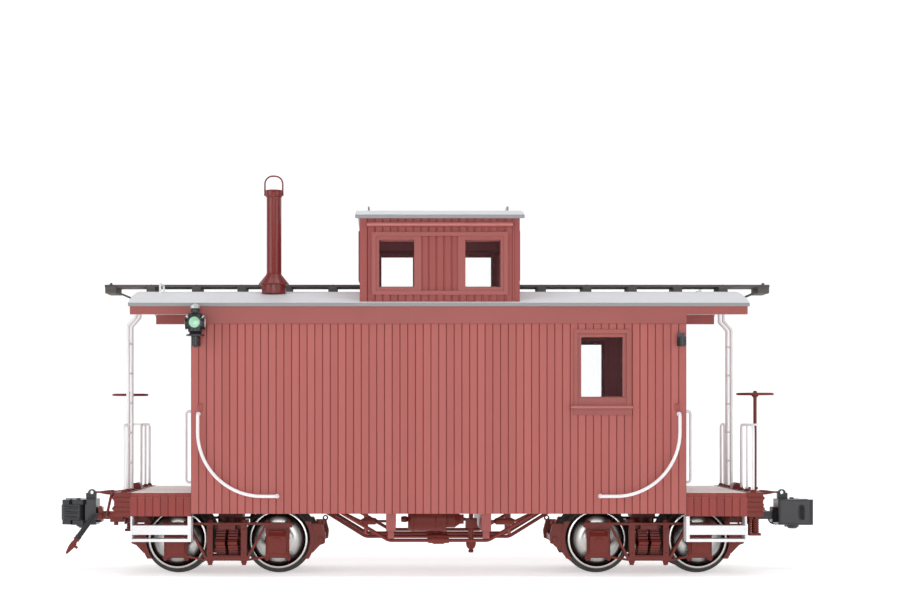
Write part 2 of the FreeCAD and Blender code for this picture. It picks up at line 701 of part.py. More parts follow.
# ---- draft gear, couplers, knuckles ----
def draft_gear():
    """A pocket under the end sill for the coupler shank, with a striker plate and a pivot pin."""
    low = COUPLER_Z - SHANK_HALF_H - 0.2
    high = COUPLER_Z + SHANK_HALF_H + 0.2
    box = block(149.0, SILL_OUT, -8.0, 8.0, low - 1.2, BODY_BOTTOM)
    cavity = block(152.0, SILL_OUT, -6.2, 6.2, low, high)
    striker = block(SILL_OUT, SILL_OUT + 1.0, -9.5, 9.5, low - 2.2, BODY_BOTTOM + 4.6)
    throat = block(SILL_OUT - 1, SILL_OUT + 2, -6.2, 6.2, low, high)
    pin_hole = rod(point(COUPLER_PIVOT, 0, 15), point(COUPLER_PIVOT, 0, BODY_BOTTOM), JOURNAL_R)
    pin = rod(point(COUPLER_PIVOT, 0, low - 1.8), point(COUPLER_PIVOT, 0, BODY_BOTTOM), JOURNAL_R)
    lump = prism([(SILL_IN + 0.6, SILL_TOP), (SILL_OUT - 1.6, SILL_TOP), (SILL_OUT - 2.2, SILL_TOP + 3.0),
                  (SILL_IN + 3.0, SILL_TOP + 3.6), (SILL_IN + 1.4, SILL_TOP + 2.4)], "y", -4.0, 4.0)
    return both_ends([without(box, [cavity, pin_hole]), striker.cut(throat), pin, lump])


HEAD_TOP = 37.2
HEAD_BOTTOM = 23.1
LUG_TOP = 34.4
LUG_BOTTOM = 25.6


def coupler():
    """The right end's coupler: shank, head with guard arm, pivot lugs and the lock lift block."""
    low = COUPLER_Z - SHANK_HALF_H
    high = COUPLER_Z + SHANK_HALF_H
    shank = block(153.0, 190.6, -SHANK_HALF_W, SHANK_HALF_W, low, high)
    horn = prism([(187.0, -4.0), (190.6, -6.8), (190.6, 6.8), (187.0, 4.0)], "z", low - 1.6, high + 2.4)
    guard = prism([(189.6, -7.4), (206.6, -9.4), (208.6, -9.0), (COUPLER_FACE - 0.2, -7.4),
                   (204.2, -5.6), (201.4, -4.2), (198.6, -1.6), (197.4, 0.4), (195.6, 1.2),
                   (195.6, 7.6), (189.6, 7.0)], "z", HEAD_BOTTOM, HEAD_TOP)
    lugs = []
    for z0, z1 in ((HEAD_BOTTOM, LUG_BOTTOM), (LUG_TOP, HEAD_TOP)):
        plate = prism([(194.6, 0.6), (197.4, 0.6), (203.2, 3.0), (203.6, 7.4), (202.4, 8.8),
                       (196.6, 8.8), (194.6, 7.4)], "z", z0, z1)
        lugs.append(plate)
    bulge = turned([(0, 20.9), (2.2, 20.9), (3.4, 21.9), (3.8, HEAD_BOTTOM), (0, HEAD_BOTTOM)],
                   point(198.4, -3.0, 0), Z_AXIS)
    lift = block(190.4, 196.0, -1.5, 1.5, HEAD_TOP, 40.6)
    eye = rod(point(192.9, -1.5, 40.6), point(192.9, 1.5, 40.6), 2.1)
    head = fused([shank, horn, guard] + lugs + [bulge, lift, eye])
    eye_hole = rod(point(192.9, -5, 40.9), point(192.9, 5, 40.9), 1.0)
    pocket = rod(point(KNUCKLE_X, KNUCKLE_Y, LUG_BOTTOM), point(KNUCKLE_X, KNUCKLE_Y, LUG_TOP), 4.4)
    bore = rod(point(COUPLER_PIVOT, 0, 20), point(COUPLER_PIVOT, 0, 40), JOURNAL_R + RUNNING_GAP)
    body = without(head, [eye_hole, pocket, bore])
    pin_foot = point(KNUCKLE_X, KNUCKLE_Y, HEAD_BOTTOM - 0.7)
    pin_top = point(KNUCKLE_X, KNUCKLE_Y, HEAD_TOP + 0.7)
    pin = rod(pin_foot, pin_top, 1.2)
    return [body.cut(pin), pin]


def knuckle():
    """The hook that turns on the head's pin, with its nose across the coupler's face."""
    z0 = LUG_BOTTOM + 0.15
    z1 = LUG_TOP - 0.15
    hub = rod(point(KNUCKLE_X, KNUCKLE_Y, z0), point(KNUCKLE_X, KNUCKLE_Y, z1), 3.8)
    hook = prism([(199.6, 1.6), (202.6, 2.8), (204.4, 2.0), (205.0, -0.6), (206.4, -1.4),
                  (COUPLER_FACE - 0.5, -0.6), (COUPLER_FACE, 1.0), (COUPLER_FACE - 0.2, 5.6),
                  (207.4, 8.0), (203.6, 9.2), (199.6, 9.2)], "z", z0, z1)
    bore = rod(point(KNUCKLE_X, KNUCKLE_Y, 10), point(KNUCKLE_X, KNUCKLE_Y, 50), 1.2 + RUNNING_GAP)
    flange = prism([(203.4, 9.0), (203.4, 3.0), (208.2, 3.0), (208.2, 7.6)], "z", LUG_BOTTOM - 2.3, z0)
    upper = prism([(204.4, 8.4), (204.4, 3.0), (208.2, 3.0), (208.2, 7.4)], "z", z1, LUG_TOP + 2.6)
    clear = rod(point(KNUCKLE_X, KNUCKLE_Y, 10), point(KNUCKLE_X, KNUCKLE_Y, z0), 4.9)
    clear_top = rod(point(KNUCKLE_X, KNUCKLE_Y, z1), point(KNUCKLE_X, KNUCKLE_Y, 50), 4.9)
    return [fused([hub, hook, flange.cut(clear), upper.cut(clear_top)]).cut(bore)]


# ---- uncoupling lever and hand brake ----
def cut_lever():
    """A rod across the end sill with an arm to the coupler's lift eye and a handle at the side."""
    line = [point(LEVER_X, -2.4, LEVER_Z), point(LEVER_X, 46.0, LEVER_Z), point(LEVER_X + 2.0, 48.5, 30.0)]
    bar = bent_rod(line, 2.2, 0.7)
    arm = block(LEVER_X, LEVER_X + 9.0, -1.0, 1.0, LEVER_Z - 0.7, LEVER_Z + 0.9)
    tip = prism([(LEVER_X + 5.4, LEVER_Z - 1.5), (LEVER_X + 9.4, LEVER_Z - 1.3),
                 (LEVER_X + 13.2, LEVER_Z - 0.5), (LEVER_X + 13.2, LEVER_Z + 0.5),
                 (LEVER_X + 9.4, LEVER_Z + 1.0), (LEVER_X + 5.4, LEVER_Z + 1.3)], "y", -0.9, 0.9)
    return [fused([bar, arm, tip])]


STAFF_R = 0.95
DRUM_R = 2.3
DRUM_BOTTOM = 19.6
DRUM_TURNS = 6
CHAIN_PITCH = 1.25
STAFF_TOP = 97.4
WHEEL_Z = 95.6
WHEEL_R = 10.3


def brake_staff():
    """The right end's hand brake, on the near side: staff, dished wheel and chain drum."""
    staff = rod(point(STAFF_X, STAFF_Y, 18.2), point(STAFF_X, STAFF_Y, STAFF_TOP), STAFF_R)
    rim = Part.makeTorus(WHEEL_R - 0.65, 0.65, point(STAFF_X, STAFF_Y, WHEEL_Z), Z_AXIS)
    hub = turned([(0, -1.4), (1.9, -1.4), (1.9, 0.9), (1.2, 1.8), (0, 1.8)],
                 point(STAFF_X, STAFF_Y, WHEEL_Z), Z_AXIS)
    spokes = []
    for index in range(5):
        angle = math.radians(72 * index + 18)
        tip = point(STAFF_X + (WHEEL_R - 0.8) * math.cos(angle),
                    STAFF_Y + (WHEEL_R - 0.8) * math.sin(angle), WHEEL_Z)
        spokes.append(rod(point(STAFF_X, STAFF_Y, WHEEL_Z), tip, 0.55))
    wound = [(0, DRUM_BOTTOM)]
    for index in range(DRUM_TURNS):
        level = DRUM_BOTTOM + index * CHAIN_PITCH
        wound += [(DRUM_R - 0.4, level), (DRUM_R, level + 0.35), (DRUM_R, level + 0.9)]
    wound.append((0, DRUM_BOTTOM + DRUM_TURNS * CHAIN_PITCH - 0.35))
    drum = turned(wound, point(STAFF_X, STAFF_Y, 0), Z_AXIS)
    ratchet = turned([(0, 43.4), (1.9, 43.4), (1.9, 44.6), (0, 44.6)], point(STAFF_X, STAFF_Y, 0), Z_AXIS)
    return [fused([staff, rim, hub, drum, ratchet] + spokes)]


def end_brackets():
    """Guides and foot of the brake staff, the pawl, the air line's clamp and the lever's eyes."""
    hole = rod(point(STAFF_X, STAFF_Y, 10), point(STAFF_X, STAFF_Y, 60), STAFF_R + RUNNING_GAP)
    pieces = []
    for z in (33.0, 41.6):
        lug = block(SILL_OUT, STAFF_X + 1.9, STAFF_Y - 1.8, STAFF_Y + 1.8, z - 0.7, z + 0.7)
        pieces.append(lug.cut(hole))
    stirrup = block(SILL_OUT - 1.7, STAFF_X + 2.8, STAFF_Y - 2.6, STAFF_Y + 2.6, 18.0, SILL_BOTTOM)
    space = block(SILL_OUT - 0.7, STAFF_X + 9.0, STAFF_Y - 5.0, STAFF_Y + 5.0, DRUM_BOTTOM - 0.2, 40.0)
    pieces.append(stirrup.cut(space).cut(hole))
    clamp = block(SILL_OUT, 179.6, PIPE_Y - 2.2, PIPE_Y + 2.2, 25.4, SILL_BOTTOM + 1.0)
    bolt = rod(point(176.6, PIPE_Y, 23.6), point(176.6, PIPE_Y, 25.4), 1.2)
    pieces += [clamp.cut(pipe_line(PIPE_R)), bolt]
    pieces.append(block(SILL_OUT - 2.6, SILL_OUT, STAFF_Y + 2.6, STAFF_Y + 5.0, SILL_TOP, SILL_TOP + 1.6))
    lever_hole = rod(point(LEVER_X, 0, LEVER_Z), point(LEVER_X, 60, LEVER_Z), 0.7 + RUNNING_GAP)
    for y in (8.0, 40.0):
        eye = block(SILL_OUT, LEVER_X + 1.5, y - 0.8, y + 0.8, LEVER_Z - 1.5, LEVER_Z + 1.5)
        pieces.append(eye.cut(lever_hole))
    return both_ends(pieces)


# ---- brake gear under the floor ----
def brake_cylinder():
    axis = point(0, -20.0, 26.9)
    tank = turned([(0, -16.2), (5.4, -16.2), (6.3, -15.4), (6.6, -14.6), (6.6, 2.8), (6.9, 2.8), (6.9, 4.7),
                   (4.6, 4.7), (4.6, 9.4), (2.6, 12.4), (2.6, 14.4), (0, 14.4)], axis, X_AXIS)
    saddle = block(-12.0, -2.0, -24.0, -16.0, 33.0, FLOOR_BOTTOM).cut(tank)
    saddle = saddle.cut(rod(point(-13, -PIPE_Y, PIPE_Z), point(0, -PIPE_Y, PIPE_Z), PIPE_HOLE_R))
    valve = turned([(0, -20.0), (1.4, -20.0), (1.7, -18.6), (1.7, -17.4), (1.2, -16.2), (0, -16.2)],
                   axis, X_AXIS)
    bulb = turned([(0, 8.6), (1.2, 8.6), (1.5, 9.6), (1.1, 10.4), (2.3, 11.6), (2.8, 13.4), (2.6, 15.4),
                   (1.5, 16.4), (1.5, 22.3), (0, 22.3)], point(18.4, -20.0, 0), Z_AXIS)
    triple = block(15.4, 21.6, -23.4, -16.6, 22.3, 27.4)
    hanger = block(17.2, 19.6, -21.2, -18.8, 27.4, FLOOR_BOTTOM)
    return [tank, saddle, valve, bulb, triple, hanger]


def brake_rigging():
    """Rods, clevises and a floating lever, fixed as the cast pieces of the model are."""
    pieces = []
    push = rod(point(14.4, -20.0, 26.9), point(15.4, -20.0, 26.9), 0.9)
    pieces.append(push)
    for x0, x1, y in ((-33.0, -27.95, -24.0), (27.95, 31.0, -24.0)):
        pieces.append(rod(point(x0, y, 26.0), point(x1, y, 26.0), 0.7))
    for x, way, length in ((-33.0, -1, 9.0), (31.0, 1, 11.2)):
        clevis = turned([(0, 0), (1.0, 0), (1.9, 1.2), (1.9, length - 1.8), (1.0, length), (0, length)],
                        point(x, -24.0, 26.0), point(way, 0, 0))
        far = x + way * (length + 16.8)
        reach = rod(point(x + way * length, -24.0, 26.0), point(far, -24.0, 34.0), 0.7)
        hanger = block(far - 1.2, far + 1.2, -25.2, -22.8, 32.6, FLOOR_BOTTOM)
        pieces += [clevis, reach.cut(clevis), hanger.cut(reach)]
    return pieces


def pipe_line(radius):
    """The route of the air line: over the trucks, and across the car through the centre sills."""
    line = [point(-184.0, -PIPE_Y, 28.4), point(-161.6, -PIPE_Y, 28.4), point(-158.8, -PIPE_Y, PIPE_Z),
            point(0, -PIPE_Y, PIPE_Z), point(0, PIPE_Y, PIPE_Z),
            point(158.8, PIPE_Y, PIPE_Z), point(161.6, PIPE_Y, 28.4), point(184.0, PIPE_Y, 28.4)]
    return bent_rod(line, 2.2, radius)


def train_pipe():
    """The air line from end to end, an angle cock at each end, and the gladhands on the hoses."""
    pipe = pipe_line(PIPE_R)
    cocks = []
    cock = turned([(0, 0), (1.5, 0), (1.5, 1.0), (2.0, 1.4), (2.0, 3.6), (1.5, 4.0), (1.5, 4.8), (0, 4.8)],
                  point(182.6, PIPE_Y, 28.4), X_AXIS).cut(pipe)
    handle = prism([(183.6, 30.4), (186.0, 30.4), (186.6, 33.4), (184.8, 34.4)], "y",
                   PIPE_Y - 0.7, PIPE_Y + 0.7).cut(cock)
    cocks += [cock, handle]
    return [pipe] + both_ends(cocks)


DROOPING_HOSE = ((187.4, 28.4), (189.2, 28.4), (197.9, 16.4))
LEVEL_HOSE = ((187.4, 28.4), (189.0, 28.4), (191.0, 23.1), (194.4, 23.4))


def hose_line(route):
    return [point(x, PIPE_Y, z) for x, z in route]


def air_hoses():
    """Short stiff rubber hoses: the left one hangs, the right one is carried beside the coupler."""
    hanging = bent_rod(hose_line(DROOPING_HOSE), 3.4, 1.5)
    carried = bent_rod(hose_line(LEVEL_HOSE), 2.3, 1.5)
    return [carried, flipped(hanging)]


def gladhand(route):
    """The coupling at the end of a hose: a sleeve, a tapered flat head and a hook."""
    knee, end = hose_line(route)[-2:]
    way = (end - knee).normalize()
    sleeve = turned([(0, 0), (1.7, 0), (1.7, 1.2), (1.2, 1.6), (1.2, 4.6), (0, 4.6)], end, way)
    flat = prism([(0, -1.6), (2.6, -1.6), (7.6, -0.5), (7.6, 0.4), (3.6, 1.4), (0, 1.4)], "y", -0.9, 0.9)
    hook = block(1.0, 2.2, -0.9, 0.9, -3.2, -1.2)
    head = fused([flat, hook])
    angle = math.degrees(math.atan2(knee.z - end.z, end.x - knee.x))
    head.Placement = FreeCAD.Placement(end + way * 2.8, FreeCAD.Rotation(Y_AXIS, angle))
    head = head.cut(rod(end, end + way * 2.8, 1.7))
    return fused([sleeve, head])


def gladhands():
    return [gladhand(LEVEL_HOSE), flipped(gladhand(DROOPING_HOSE))]


# ---- marker lamps ----
LAMP_Z = 132.8
LAMP_R = 3.9
LENS_R = 3.0
SOCKET_R = 1.2
STEM_R = 1.14


def marker_brackets():
    """A socket on an arm near each corner of the body; the two at the left end hold lamps."""
    pieces = []
    x = -LAMP_X
    arm = block(x - 1.2, x + 1.2, -LAMP_Y, -BODY_HALF_W, 123.4, 125.4)
    socket = rod(point(x, -LAMP_Y, 120.6), point(x, -LAMP_Y, 125.4), 2.0)
    pad = block(x - 2.0, x + 2.0, -BODY_HALF_W - 1.0, -BODY_HALF_W, 120.6, 127.6)
    hole = rod(point(x, -LAMP_Y, 110), point(x, -LAMP_Y, 130), SOCKET_R)
    pieces.append(fused([arm, socket, pad]).cut(hole))
    return four_corners(pieces)


def lamp_body(side):
    base = point(LAMP_X, side * LAMP_Y, 0)
    case = turned([(0, 125.6), (4.9, 125.6), (4.9, 126.6), (3.2, 127.2), (LAMP_R, 128.4), (LAMP_R, 137.0),
                   (2.9, 137.8), (2.6, 140.6), (2.0, 142.2), (0, 142.9)], base, Z_AXIS)
    stem = rod(point(LAMP_X, side * LAMP_Y, 119.8), point(LAMP_X, side * LAMP_Y, 125.6), STEM_R)
    barrels = []
    for turn in range(4):
        angle = math.radians(90 * turn)
        way = point(math.cos(angle), math.sin(angle), 0)
        centre = point(LAMP_X, side * LAMP_Y, LAMP_Z)
        barrels.append(rod(centre + way * 1.5, centre + way * 5.2, LENS_R + 0.5))
    body = fused([case, stem] + barrels)
    for turn in range(4):
        angle = math.radians(90 * turn)
        way = point(math.cos(angle), math.sin(angle), 0)
        centre = point(LAMP_X, side * LAMP_Y, LAMP_Z)
        body = body.cut(rod(centre + way * 4.2, centre + way * 6, LENS_R))
    return [body]


def lamp_lenses(side):
    """Four domed lenses, each seated in its barrel."""
    lenses = []
    for turn in range(4):
        angle = math.radians(90 * turn)
        way = point(math.cos(angle), math.sin(angle), 0)
        seat = point(LAMP_X, side * LAMP_Y, LAMP_Z) + way * 4.2
        lenses.append(turned([(0, 0), (LENS_R, 0), (LENS_R, 0.7), (2.2, 1.15), (1.2, 1.35), (0, 1.4)],
                             seat, way))
    return lenses


# ---- trucks ----
FRAME_IN = 29.6
FRAME_OUT = 34.4
AXLE_X = WHEELBASE / 2
BAR_TOP = 25.7
BAR_T = 1.25
BOX_BOTTOM = 7.6
BOX_TOP = 21.9
TIE_BOTTOM = 5.1


def side_frame():
    """One arch bar side at y = -32, for a truck centred on x = 0."""
    y0 = -FRAME_OUT
    y1 = -FRAME_IN
    pieces = []
    pieces.append(block(-35.2, 35.2, y0, y1, BAR_TOP - BAR_T, BAR_TOP))
    low = BAR_TOP - 2 * BAR_T
    outline = [(-35.2, low), (-21.0, low), (-11.8, TIE_BOTTOM + 0.9), (11.8, TIE_BOTTOM + 0.9), (21.0, low),
               (35.2, low), (35.2, low + BAR_T), (20.2, low + BAR_T), (11.0, TIE_BOTTOM + 2.2),
               (-11.0, TIE_BOTTOM + 2.2), (-20.2, low + BAR_T), (-35.2, low + BAR_T)]
    pieces.append(prism(outline, "y", y0, y1))
    tie = [(-34.4, 6.6), (-20.8, 6.6), (-12.2, TIE_BOTTOM), (12.2, TIE_BOTTOM), (20.8, 6.6), (34.4, 6.6),
           (34.4, BOX_BOTTOM), (20.6, BOX_BOTTOM), (11.9, TIE_BOTTOM + 0.9), (-11.9, TIE_BOTTOM + 0.9),
           (-20.6, BOX_BOTTOM), (-34.4, BOX_BOTTOM)]
    pieces.append(prism(tie, "y", y0, y1))
    for x in (-9.2, 9.2):
        pieces.append(block(x - 1.6, x + 1.6, y0, y1, TIE_BOTTOM + 2.2, BAR_TOP - BAR_T))
        pieces.append(rod(point(x, -32.0, 2.6), point(x, -32.0, TIE_BOTTOM), 1.2))
        pieces.append(rod(point(x, -32.0, BAR_TOP), point(x, -32.0, BAR_TOP + 1.4), 1.2))
    return pieces


def journal_box(x):
    """A journal box under the arch bars with a sloping lid, bored for the axle's journal."""
    z = TREAD_R
    shell = block(x - 5.7, x + 5.7, -35.4, -27.2, BOX_BOTTOM, BOX_TOP)
    front = prism([(-35.4, BOX_BOTTOM + 1.0), (-37.2, BOX_BOTTOM + 2.6), (-38.0, BOX_TOP - 3.4),
                   (-36.6, BOX_TOP - 0.8), (-35.4, BOX_TOP - 0.8)], "x", x - 4.8, x + 4.8)
    flange = block(x - 6.4, x + 6.4, -FRAME_OUT, -FRAME_IN, BOX_TOP, BAR_TOP - 2 * BAR_T)
    hinge = rod(point(x - 3.0, -36.4, BOX_TOP - 0.8), point(x + 3.0, -36.4, BOX_TOP - 0.8), 0.7)
    bore = rod(point(x, -33.4, z), point(x, -20, z), JOURNAL_R + RUNNING_GAP)
    box = fused([shell, front, flange, hinge]).cut(bore)
    bolts = []
    for dx in (-4.9, 4.9):
        bolts.append(rod(point(x + dx, -32.0, BAR_TOP), point(x + dx, -32.0, BAR_TOP + 1.0), 0.9))
        bolts.append(rod(point(x + dx, -32.0, 5.5), point(x + dx, -32.0, 6.6), 0.9))
    return [box] + bolts


def truck_frame():
    near = side_frame() + journal_box(-AXLE_X) + journal_box(AXLE_X)
    return near + [across(piece) for piece in near]


SPRING_TOP = 22.1
PLANK_TOP = 8.0


def truck_bolster():
    """The bolster, the spring plank below it, and the tie straps that carry the brake beams."""
    bolster = prism([(-34.2, 24.4), (-34.2, SPRING_TOP), (-20.0, SPRING_TOP), (-12.0, 19.6), (12.0, 19.6),
                     (20.0, SPRING_TOP), (34.2, SPRING_TOP), (34.2, 24.4)], "x", -7.2, 7.2)
    bolster = without(bolster, [block(-10, -4.6, -36, -28, 10, 30), block(4.6, 10, -36, -28, 10, 30),
                                block(-10, -4.6, 28, 36, 10, 30), block(4.6, 10, 28, 36, 10, 30)])
    plate = turned([(0, 24.4), (6.2, 24.4), (6.2, 27.1), (0, 27.1)], point(0, 0, 0), Z_AXIS)
    pin_hole = rod(point(0, 0, 10), point(0, 0, 40), JOURNAL_R + RUNNING_GAP)
    head_room = rod(point(0, 0, 10), point(0, 0, 21.2), 3.4)
    top = without(fused([bolster, plate]), [pin_hole, head_room])
    plank = block(-7.4, 7.4, -34.2, 34.2, TIE_BOTTOM + 2.2, PLANK_TOP)
    return [top, plank]


LEAF_W = 5.0
LEAF_T = 0.95


def elliptic_springs():
    """Full elliptic springs set across the truck, two a side; each leaf is an arc."""
    leaves = []
    middle = (SPRING_TOP + PLANK_TOP) / 2
    for x in (-3.35, 3.35):
        eyes = []
        for end in (-1, 1):
            y = -27.4 + end * 9.3
            eyes.append(rod(point(x - LEAF_W / 2, y, middle), point(x + LEAF_W / 2, y, middle), 1.0))
        for sign in (1, -1):
            for index in range(5):
                half = 8.6 - 1.45 * index
                seat = SPRING_TOP if sign > 0 else PLANK_TOP
                rise = abs(seat - middle) - 0.35
                radius = roof_radius(8.6, rise - 5 * LEAF_T)
                crown = abs(seat - middle) - (4 - index) * LEAF_T
                radius = radius + index * LEAF_T
                centre_z = middle + sign * (crown - radius)
                start = point(x - LEAF_W / 2, -27.4, centre_z)
                outer = Part.makeCylinder(radius, LEAF_W, start, X_AXIS)
                inner = Part.makeCylinder(radius - LEAF_T, LEAF_W, start, X_AXIS)
                keep = block(x - LEAF_W / 2, x + LEAF_W / 2, -27.4 - half, -27.4 + half,
                             middle, seat)
                leaf = outer.cut(inner).common(keep)
                leaves.append(without(leaf, eyes) if index == 0 else leaf)
        leaves += eyes
    return leaves + [across(leaf) for leaf in leaves]


def truck_brakes():
    """Brake beams outside the wheels, with heads, shoes and hanger eyes, on straps to the plank."""
    pieces = []
    beam = block(49.6, 51.6, -27.0, 27.0, 14.6, 17.4)
    pieces.append(beam)
    for y in (-12.0, 12.0):
        strap = prism([(7.4, 6.0), (44.0, 8.6), (49.6, 14.6), (49.6, 16.4), (43.2, 10.0), (7.4, 7.4)],
                      "y", y - 1.4, y + 1.4)
        pieces.append(strap)
    for side in (-1, 1):
        y = side * 24.2
        shoe = Part.makeCylinder(TREAD_R + 3.4, 4.0, point(AXLE_X, y - 2.0, TREAD_R), Y_AXIS)
        shoe = shoe.cut(Part.makeCylinder(TREAD_R + 1.0, 4.0, point(AXLE_X, y - 2.0, TREAD_R), Y_AXIS))
        shoe = shoe.common(block(AXLE_X + 9.0, 60, -40, 40, 5.6, 26.0))
        head = prism([(46.0, 8.6), (50.2, 13.0), (52.8, 14.0), (53.2, 18.4), (51.6, 24.6), (46.0, 24.6)],
                     "y", y - 1.7, y + 1.7)
        clear = Part.makeCylinder(TREAD_R + 1.4, 20, point(AXLE_X, y - 10, TREAD_R), Y_AXIS)
        eye = rod(point(51.2, y - 0.8, 25.4), point(51.2, y + 0.8, 25.4), 1.6)
        eye_hole = rod(point(51.2, y - 3, 25.5), point(51.2, y + 3, 25.5), 0.8)
        pieces.append(fused([shoe, head.cut(clear), eye]).cut(eye_hole).cut(beam))
    return pieces + [along(piece) for piece in pieces]


# ---- wheelsets ----
def wheel(side):
    """A disc wheel with a coned tread, a flange on the inside, a dished face and a hub."""
    profile = [(AXLE_R, WHEEL_IN), (14.2, WHEEL_IN), (14.8, WHEEL_IN), (17.6, WHEEL_IN),
               (TREAD_R + 2.1, WHEEL_IN + 0.35), (TREAD_R + FLANGE_DEPTH, WHEEL_IN + 0.8),
               (TREAD_R + 2.0, WHEEL_IN + 1.25), (TREAD_R + 0.5, WHEEL_IN + 1.7), (TREAD_R, WHEEL_IN + 2.3),
               (TREAD_R - 0.25, WHEEL_OUT - 0.5), (TREAD_R - 0.7, WHEEL_OUT), (14.6, WHEEL_OUT),
               (13.6, WHEEL_OUT - 1.6), (8.0, WHEEL_OUT - 1.9), (5.2, WHEEL_OUT - 0.9),
               (4.4, WHEEL_OUT + 0.4), (AXLE_R, WHEEL_OUT + 0.4)]
    return turned(profile, point(0, 0, TREAD_R), point(0, side, 0))


def wheelset():
    axle = turned([(0, -33.0), (JOURNAL_R, -33.0), (JOURNAL_R, -26.9), (AXLE_R, -26.9), (AXLE_R, 26.9),
                   (JOURNAL_R, 26.9), (JOURNAL_R, 33.0), (0, 33.0)], point(0, 0, TREAD_R), Y_AXIS)
    return [axle, wheel(-1), wheel(1)]


def moved(shapes, x):
    return [shape.translated(point(x, 0, 0)) for shape in shapes]


# ---- write every node ----
os.makedirs("parts", exist_ok=True)

bars = truss_rods()
save("underframe", [without(piece, bars[2:]) for piece in underframe()] + king_pins())
save("needle_beams", [without(piece, bars) for piece in needle_beams()])
save("truss_rods", bars + turnbuckles(bars))
save("floor", floor_boards())
save("platforms", platforms())
save("end_sills", end_sills())
save("platform_steps", platform_steps())
save("side_wall_near", [side_wall(-1)])
save("side_wall_far", [side_wall(1)])
save("letterboards", letterboards())
save("end_walls", end_walls())
save("main_roof", main_roof())
save("running_boards", running_boards())
save("cupola_sides", cupola_sides())
save("cupola_ends", cupola_ends())
save("cupola_roof", cupola_roof())
save("window_trim", window_trim() + sash_rails())
save("window_panes", window_panes())
save("smoke_jack", smoke_jack())
save("ladders", ladders())
save("end_railings", end_railings())
save("grab_irons", grab_irons())
save("draft_gear", draft_gear())
save("end_brackets", end_brackets())
save("brake_cylinder", brake_cylinder())
save("brake_rigging", brake_rigging())
save("train_pipe", train_pipe())
save("air_hoses", air_hoses())
save("gladhands", gladhands())
save("marker_brackets", marker_brackets())

save("door_right", end_door())
save("door_left", [flipped(piece) for piece in end_door()])
for side, side_name in ((-1, "near"), (1, "far")):
    for end, end_name in ((-1, "left"), (1, "right")):
        save("cupola_sash_" + side_name + "_" + end_name, cupola_sash(side, end))
    save("marker_lamp_" + side_name, lamp_body(side))
    save("marker_lenses_" + side_name, lamp_lenses(side))

save("coupler_right", coupler())
save("coupler_left", [flipped(piece) for piece in coupler()])
save("knuckle_right", knuckle())
save("knuckle_left", [flipped(piece) for piece in knuckle()])
save("cut_lever_right", cut_lever())
save("cut_lever_left", [flipped(piece) for piece in cut_lever()])
save("brake_staff_right", brake_staff())
save("brake_staff_left", [flipped(piece) for piece in brake_staff()])

for end, end_name in ((-1, "left"), (1, "right")):
    x = end * TRUCK_X
    save("truck_frame_" + end_name, moved(truck_frame(), x))
    save("truck_bolster_" + end_name, moved(truck_bolster(), x))
    save("truck_springs_" + end_name, moved(elliptic_springs(), x))
    save("truck_brakes_" + end_name, moved(truck_brakes(), x))
    for axle, axle_name in ((-1, "left"), (1, "right")):
        save("wheelset_" + end_name + "_" + axle_name, moved(wheelset(), x + axle * AXLE_X))
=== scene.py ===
import json
import math

import bmesh
import bpy
from mathutils import Matrix, Vector


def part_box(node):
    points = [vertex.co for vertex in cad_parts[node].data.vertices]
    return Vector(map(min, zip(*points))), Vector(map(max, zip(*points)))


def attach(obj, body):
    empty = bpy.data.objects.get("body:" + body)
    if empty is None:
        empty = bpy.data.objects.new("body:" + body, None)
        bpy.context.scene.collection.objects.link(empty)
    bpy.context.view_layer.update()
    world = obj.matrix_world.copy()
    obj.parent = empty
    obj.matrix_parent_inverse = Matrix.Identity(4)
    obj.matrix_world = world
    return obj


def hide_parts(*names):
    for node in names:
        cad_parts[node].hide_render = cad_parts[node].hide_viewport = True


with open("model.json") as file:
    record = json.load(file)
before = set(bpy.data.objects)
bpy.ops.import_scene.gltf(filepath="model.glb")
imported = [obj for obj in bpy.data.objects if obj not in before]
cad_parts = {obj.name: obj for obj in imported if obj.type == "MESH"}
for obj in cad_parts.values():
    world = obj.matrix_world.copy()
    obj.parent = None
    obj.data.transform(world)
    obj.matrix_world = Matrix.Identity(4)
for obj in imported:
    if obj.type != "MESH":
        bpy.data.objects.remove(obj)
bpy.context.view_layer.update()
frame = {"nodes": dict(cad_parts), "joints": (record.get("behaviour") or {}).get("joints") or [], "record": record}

bl_info = {
    "name": "Model Caboose",
    "version": (1, 0, 0),
    "blender": (4, 5, 0),
    "location": "View3D > Sidebar > Caboose",
    "description": "Finishes and fittings of a large-scale model caboose with a cupola",
    "category": "Object",
}

MM = 0.001
X_WAY = Vector((1, 0, 0))
Y_WAY = Vector((0, 1, 0))
Z_WAY = Vector((0, 0, 1))
ENDS = (("left", -1), ("right", 1))
SIDES = (("near", -1), ("far", 1))
SHARP = math.radians(32)
WELD = 0.000002          # metres

# Lengths in millimetres; levels are above the rail head.
BOARD = 4.11             # pitch of the siding
BOARD_HALF = 53.5        # half the boarded width of the end walls
WALL_HALF = 131.5        # half the body's length
SIDE_INNER = 53.7        # inner faces of the walls
END_INNER = 129.8
SIDE_FACE = 55.5         # outer face of the side walls
CUPOLA_MIDDLE = 0.6
CUPOLA_HALF = 42.5
CUPOLA_INNER = 40.0
DECK_PLANK = 6.0
DECK_HALF = 54.0
DECK_TOP = 42.9
STEP_FACE = 54.5
SILL_FACE = 172.5        # outer face of the end sills
WALK_TOP = 156.4         # top of the running boards
AXLE_STEP = 27.53        # from a truck's middle to its axles
SHADED_DISH_START = 8.5         # radii of the dish, darkened with painted shade, and of the bright rim of a wheel
SHADED_DISH_STOP = 14.6
RIM_STOP = 15.9
LAMP_LEVEL = 132.8       # middle of the marker lamps' lenses
CAP_LEVEL = 140.3
HOSE_Y = 19.0
TANK_AXIS = (-20.0, 26.9)


def mount_place(name):
    return Vector(next(m["pos_m"] for m in frame["record"]["mounts"] if m["name"] == name))


